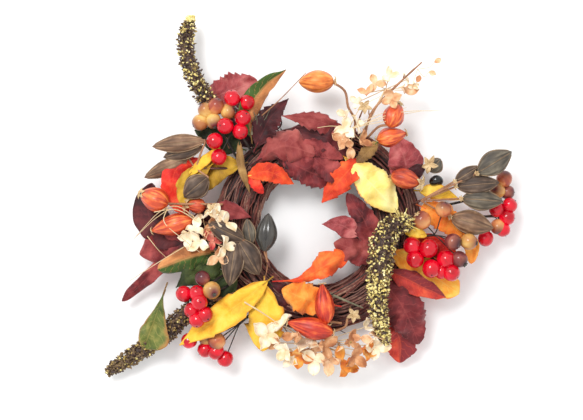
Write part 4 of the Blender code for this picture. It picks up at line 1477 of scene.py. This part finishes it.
def petal(piece, dice, centre, out, beside, facing, size, paint):
    """A cupped, notched petal with a crumpled edge."""
    rows, cols = 12, 11
    share = np.linspace(0.0, 1.0, rows)[:, None]
    side = np.linspace(1.0, -1.0, cols)[None]
    wide = size * 0.34 * np.sin(math.pi * (0.05 + 0.92 * share**0.9)) ** 0.8
    reach = size * share * (1.0 - 0.12 * share**4 * np.cos(1.4 * side) * dice.uniform(0.3, 1.2))
    reach = reach * (1.0 - 0.16 * side**2 * share**2)
    cup = size * (0.25 * share**1.5 + 0.3 * side**2 * share * dice.uniform(0.2, 1.0))
    cup = cup - size * 0.35 * share**3 * dice.uniform(-0.3, 1.3)
    cup = cup + size * 0.07 * np.sin(5 * side + dice.uniform(0, 6)) * share**2
    points = (
        centre
        + reach[..., None] * out
        + (wide * side)[..., None] * beside
        + cup[..., None] * facing
    )
    piece.slab(points, 0.35 * MM, paint, paint)


def floret(piece, dice, centre, lean, size, paint, heart_paint, petals=4):
    facing = unit(UP + lean)
    across = unit(np.cross(facing, np.array([0.0, 1.0, 0.0])))
    up = np.cross(facing, across)
    start = dice.uniform(0.0, 6.28)
    for number in range(petals):
        spin = start + 2.0 * math.pi * number / petals + dice.uniform(-0.15, 0.15)
        tilt = dice.uniform(-0.35, 0.7)
        out = math.cos(spin) * across + math.sin(spin) * up
        beside = np.cross(facing, out)
        tipped = math.cos(tilt) * out + math.sin(tilt) * facing
        away = math.cos(tilt) * facing - math.sin(tilt) * out
        petal(piece, dice, centre, tipped, beside, away, size * dice.uniform(0.85, 1.15), paint)
    heart = path([centre - facing * 0.5 * MM, centre + facing * 1.1 * MM], 6)
    piece.tube(skin(heart, np.array([0.5, 0.95, 1.1, 1.0, 0.7, 0.3]) * MM, 8), heart_paint)


# Name: body, seat, hub, florets (x, y, lift, petal length, finish), with w, p, t, k and a for
# cream, peach, tan, pink and amber, and g for tan with an olive heart.
BLOSSOMS = {
    "blossoms_left": (
        "wreath", (186, -9), (186, 4, 6),
        (
            (-97, -6, 9, 10, "w"), (-86, 8, 9, 11, "w"), (-80, -3, 10, 10, "p"), (-89, -11, 11, 11, "w"),
            (-78, -9, 12, 9, "k"), (-69, -14, 19, 11, "w"), (-74, -21, 14, 10, "p"),
            (-84, -6, 10, 10, "p"), (-75, 10, 14, 11, "w"), (-68, 4, 16, 10, "w"), (-79, 2, 13, 9, "t"),
            (-91, 0, 11, 9, "w"),
        ),
    ),
    "blossoms_upper_right": (
        "wreath", (74, -12), (70, -3, 7),
        (
            (20, 84, 9, 9, "w"), (29, 78, 10, 8, "w"), (21, 74, 11, 10, "w"), (18, 66, 10, 9, "p"),
            (24, 60, 11, 10, "p"), (32, 65, 11, 9, "t"),
        ),
    ),
    "blossoms_twig": (
        "twig_spray", (65, -5), (64, 36, 7),
        (
            (43, 108, 10, 9, "p"), (53, 113, 10, 10, "w"), (64, 103, 9, 11, "p"), (54, 96, 16, 10, "p"),
            (66, 111, 8, 7, "w"), (36, 101, 9, 8, "p"), (29, 94, 8, 7, "w"), (71, 106, 8, 5, "w"),
        ),
    ),
    "blossoms_bottom": (
        "wreath", (268, -9), (268, 8, 5),
        (
            (-28, -72, 9, 11, "w"), (-38, -80, 7, 13, "w"), (-18, -81, 10, 12, "t"),
            (-24, -91, 7, 11, "w"), (-14, -96, 6, 11, "a"), (-8, -86, 9, 12, "w"), (-2, -98, 7, 13, "w"),
            (5, -88, 11, 12, "t"), (9, -100, 7, 12, "p"), (18, -98, 10, 13, "a"), (27, -96, 9, 12, "t"),
            (35, -92, 8, 11, "a"), (24, -85, 11, 10, "g"), (42, -88, 5, 13, "w"), (36, -74, 6, 10, "w"),
            (-31, -86, 5, 10, "t"), (13, -91, 8, 11, "p"), (-12, -78, 8, 10, "p"), (0, -80, 8, 9, "t"),
            (32, -82, 8, 10, "p"), (-4, -92, 5, 12, "p"), (22, -104, 5, 9, "a"), (-20, -99, 4, 9, "w"),
            (44, -80, 6, 9, "p"),
        ),
    ),
}

BLOSSOM_PAINTS = (
    "wire_dark", "petal_cream", "petal_peach", "petal_tan", "petal_pink", "petal_amber",
    "grain_olive", "straw",
)
PETAL_PAINTS = {"w": 1, "p": 2, "t": 3, "k": 4, "a": 5, "g": 3}


def make_blossoms():
    paints = [PAINTS[key] for key in BLOSSOM_PAINTS]
    olive, straw = BLOSSOM_PAINTS.index("grain_olive"), BLOSSOM_PAINTS.index("straw")
    for number, (name, (body, seat, hub, florets)) in enumerate(BLOSSOMS.items()):
        dice = np.random.default_rng(900 + number)
        piece = Piece(name + "_petals")
        knot = ring(*hub)
        stem(piece, seat, knot, 1.0, 0.8, straw)
        for x, y, lift, size, kind in florets:
            centre = at(x, y, lift)
            lean = 0.5 * unit(centre - knot) * np.array([1.0, 1.0, 0.0]) + 0.45 * dice.standard_normal(3)
            petals = int(dice.choice([2, 3, 3, 4]))
            paint = PETAL_PAINTS[kind]
            heart = olive if kind == "g" else paint
            floret(piece, dice, centre, lean, size * MM, paint, heart, petals)
            wire(piece, [knot, knot + (centre - knot) * 0.5 - 3.0 * MM * UP, centre - MM * UP], 0.35, straw)
        piece.build(paints, body, [name])


# ---- Twig, straws and odd stars ---------------------------------------------------------------

def make_twig():
    piece = Piece("twig_upper_right_bark")
    dice = np.random.default_rng(21)
    knots = [ring(*knot) for knot in ((63, -5, 5), (65, 15, 9), (63, 30, 14), (60, 50, 14), (58, 66, 12))]
    spine = path(knots, 60)
    share = np.linspace(0.0, 1.0, 60)
    piece.tube(skin(spine, (1.15 - 0.5 * share + 0.12 * np.sin(31 * share)) * MM, 9), 0)
    for place, side, reach in ((14, 1, 6), (30, -1, 5), (44, 1, 4)):
        along = unit(spine[place + 1] - spine[place])
        out = np.cross(UP, along) * side
        tip = spine[place] + (along * 0.8 + out * 0.5) * reach * MM + dice.uniform(-1, 1) * MM * UP
        middle = spine[place] + (along * 0.35 + out * 0.3) * reach * MM
        piece.tube(skin(path([spine[place], middle, tip], 14), np.linspace(0.6, 0.3, 14) * MM, 7), 0)
    piece.build([PAINTS["twig_bark"]], "twig_spray", ["twig_upper_right"])


# Name: body, finish, radius, then each straw's knots.
STRAWS = {
    "straws_left": (
        "wreath", "straw", 0.36,
        (
            ((-88, 5, 10), (-104, 16, 14), (-118, 12, 13), (-136, -6, 6)),
            ((-88, 4, 11), (-106, 14, 15), (-120, 8, 12), (-138, -8, 4)),
            ((-112, 15, 14), (-114, 4, 14), (-98, -10, 13), (-88, -18, 11)),
            ((-100, -14, 12), (-120, -26, 6), (-142, -40, -4)),
            ((-128, -6, 4), (-120, -16, 4), (-114, -22, 3)),
            ((-122, 12, 13), (-108, 14, 14), (-96, 10, 11)),
        ),
    ),
    "straws_lower": (
        "wreath", "straw", 0.75, (((-55, -55, 11), (-43, -62, 12), (-30, -71, 9)),),
    ),
    "straws_upper_right": (
        "wreath", "straw", 0.36,
        (
            ((24, 74, 10), (44, 84, 13), (66, 90, 8)), ((24, 74, 10), (50, 82, 12), (79, 88, 5)),
            ((24, 74, 10), (60, 86, 13), (104, 88, 2)), ((24, 74, 10), (42, 78, 13), (62, 81, 10)),
            ((24, 74, 10), (10, 76, 12), (-6, 74, 8)), ((24, 76, 10), (32, 90, 12), (46, 98, 12)),
        ),
    ),
    "stem_upper_left": ("wreath", "twig_bark", 0.5, (((-42, 84, 8), (-28, 96, 13), (-9, 116, 9)),)),
    "tuft_upper_left": (
        "wreath", "mossy_stem", 0.5,
        tuple(
            (
                (-50 + 0.3 * n, 70, 4),
                (-49 + 1.1 * n, 78 + (n % 3), 7),
                (-52 + 2.0 * n, 84 + (n * 5) % 7, 6 + n % 4),
            )
            for n in range(9)
        ),
    ),
    "stem_mossy": ("wreath", "mossy_stem", 1.1, (((6, -48, 3), (20, -54, 5), (34, -60, 3)),)),
    "stem_dark_lower": ("wreath", "wire_dark", 0.7, (((60, -10, 4), (38, -32, 7), (10, -50, 5)),)),
    "stem_dark_pod": ("wreath", "twig_bark", 0.6, (((-39, -16, 5), (-38, -28, 3), (-40, -40, 1)),)),
}


def make_straws():
    for name, (body, finish, radius, straws) in STRAWS.items():
        piece = Piece(name)
        for knots in straws:
            points = path([at(*knot) for knot in knots], 30)
            share = np.linspace(0.0, 1.0, 30)
            piece.tube(skin(points, radius * (1.0 - 0.5 * share) * MM, 7), 0)
        piece.build([PAINTS[finish]], body)


def make_stars():
    """Loose calyxes: (x, y, lift, size)."""
    for number, place in enumerate(((83, 48, 9, 7), (-79, 13, 12, 6), (34, 90, 11, 6), (27, -66, 2, 6))):
        piece = Piece(f"calyx_{number + 1}")
        dice = np.random.default_rng(60 + number)
        centre = at(*place[:3])
        facing = np.array([dice.uniform(-0.4, 0.4), dice.uniform(-0.4, 0.4), 1.0])
        star(piece, dice, centre, facing, place[3], 0, 5)
        foot = centre * 0.9 + np.array([MIDDLE[0], MIDDLE[1], 0.0]) * 0.1
        foot[2] = RING_TOP - 2.0 * MM
        wire(piece, [foot, (foot + centre) / 2 + MM * UP, centre], 0.6, 1)
        piece.build([PAINTS["calyx"], PAINTS["twig_bark"]], "wreath")


def make_odds():
    """A black seed, a split grey pod, and small petals at the twig's tip."""
    piece = Piece("seed_black")
    points = path([at(84, 33, 3), at(89, 36, 5), at(93, 33, 3)], 20)
    share = np.linspace(0.0, 1.0, 20)
    piece.tube(skin(points, 3.6 * MM * round_ends(share, 0.5) + 0.2 * MM, 20), 0)
    piece.build([PAINTS["seed_black"]], "wreath")
    piece = Piece("pod_split_right")
    dice = np.random.default_rng(5)
    pod(piece, at(84, 42, 4), at(92, 52, 3), 11, 0, 1)
    piece.build([PAINTS["pod_grey"], PAINTS["pod_rim"]], "wreath")
    piece = Piece("petals_twig_tip")
    for x, y, spin in ((87, 124, 0.4), (83, 117, -0.5), (74, 109, 1.2)):
        out = np.array([math.cos(spin), math.sin(spin), 0.2])
        petal(piece, dice, at(x, y, 8), out, np.cross(UP, out), UP, 6.0 * MM, 0)
        wire(piece, [ring(58, 60, 12), at(x - 4, y - 4, 10), at(x, y, 8)], 0.25, 1)
    piece.build([PAINTS["petal_peach"], PAINTS["straw"]], "twig_spray")


add_camera()
add_floor()
add_world()
add_light("key", (-0.55, 0.7, 1.6), 20.0, 0.7)
make_vines()
make_ties()
make_leaves()
make_berries()
make_pods()
make_husks()
make_spikes()
make_blossoms()
make_twig()
make_straws()
make_stars()
make_odds()
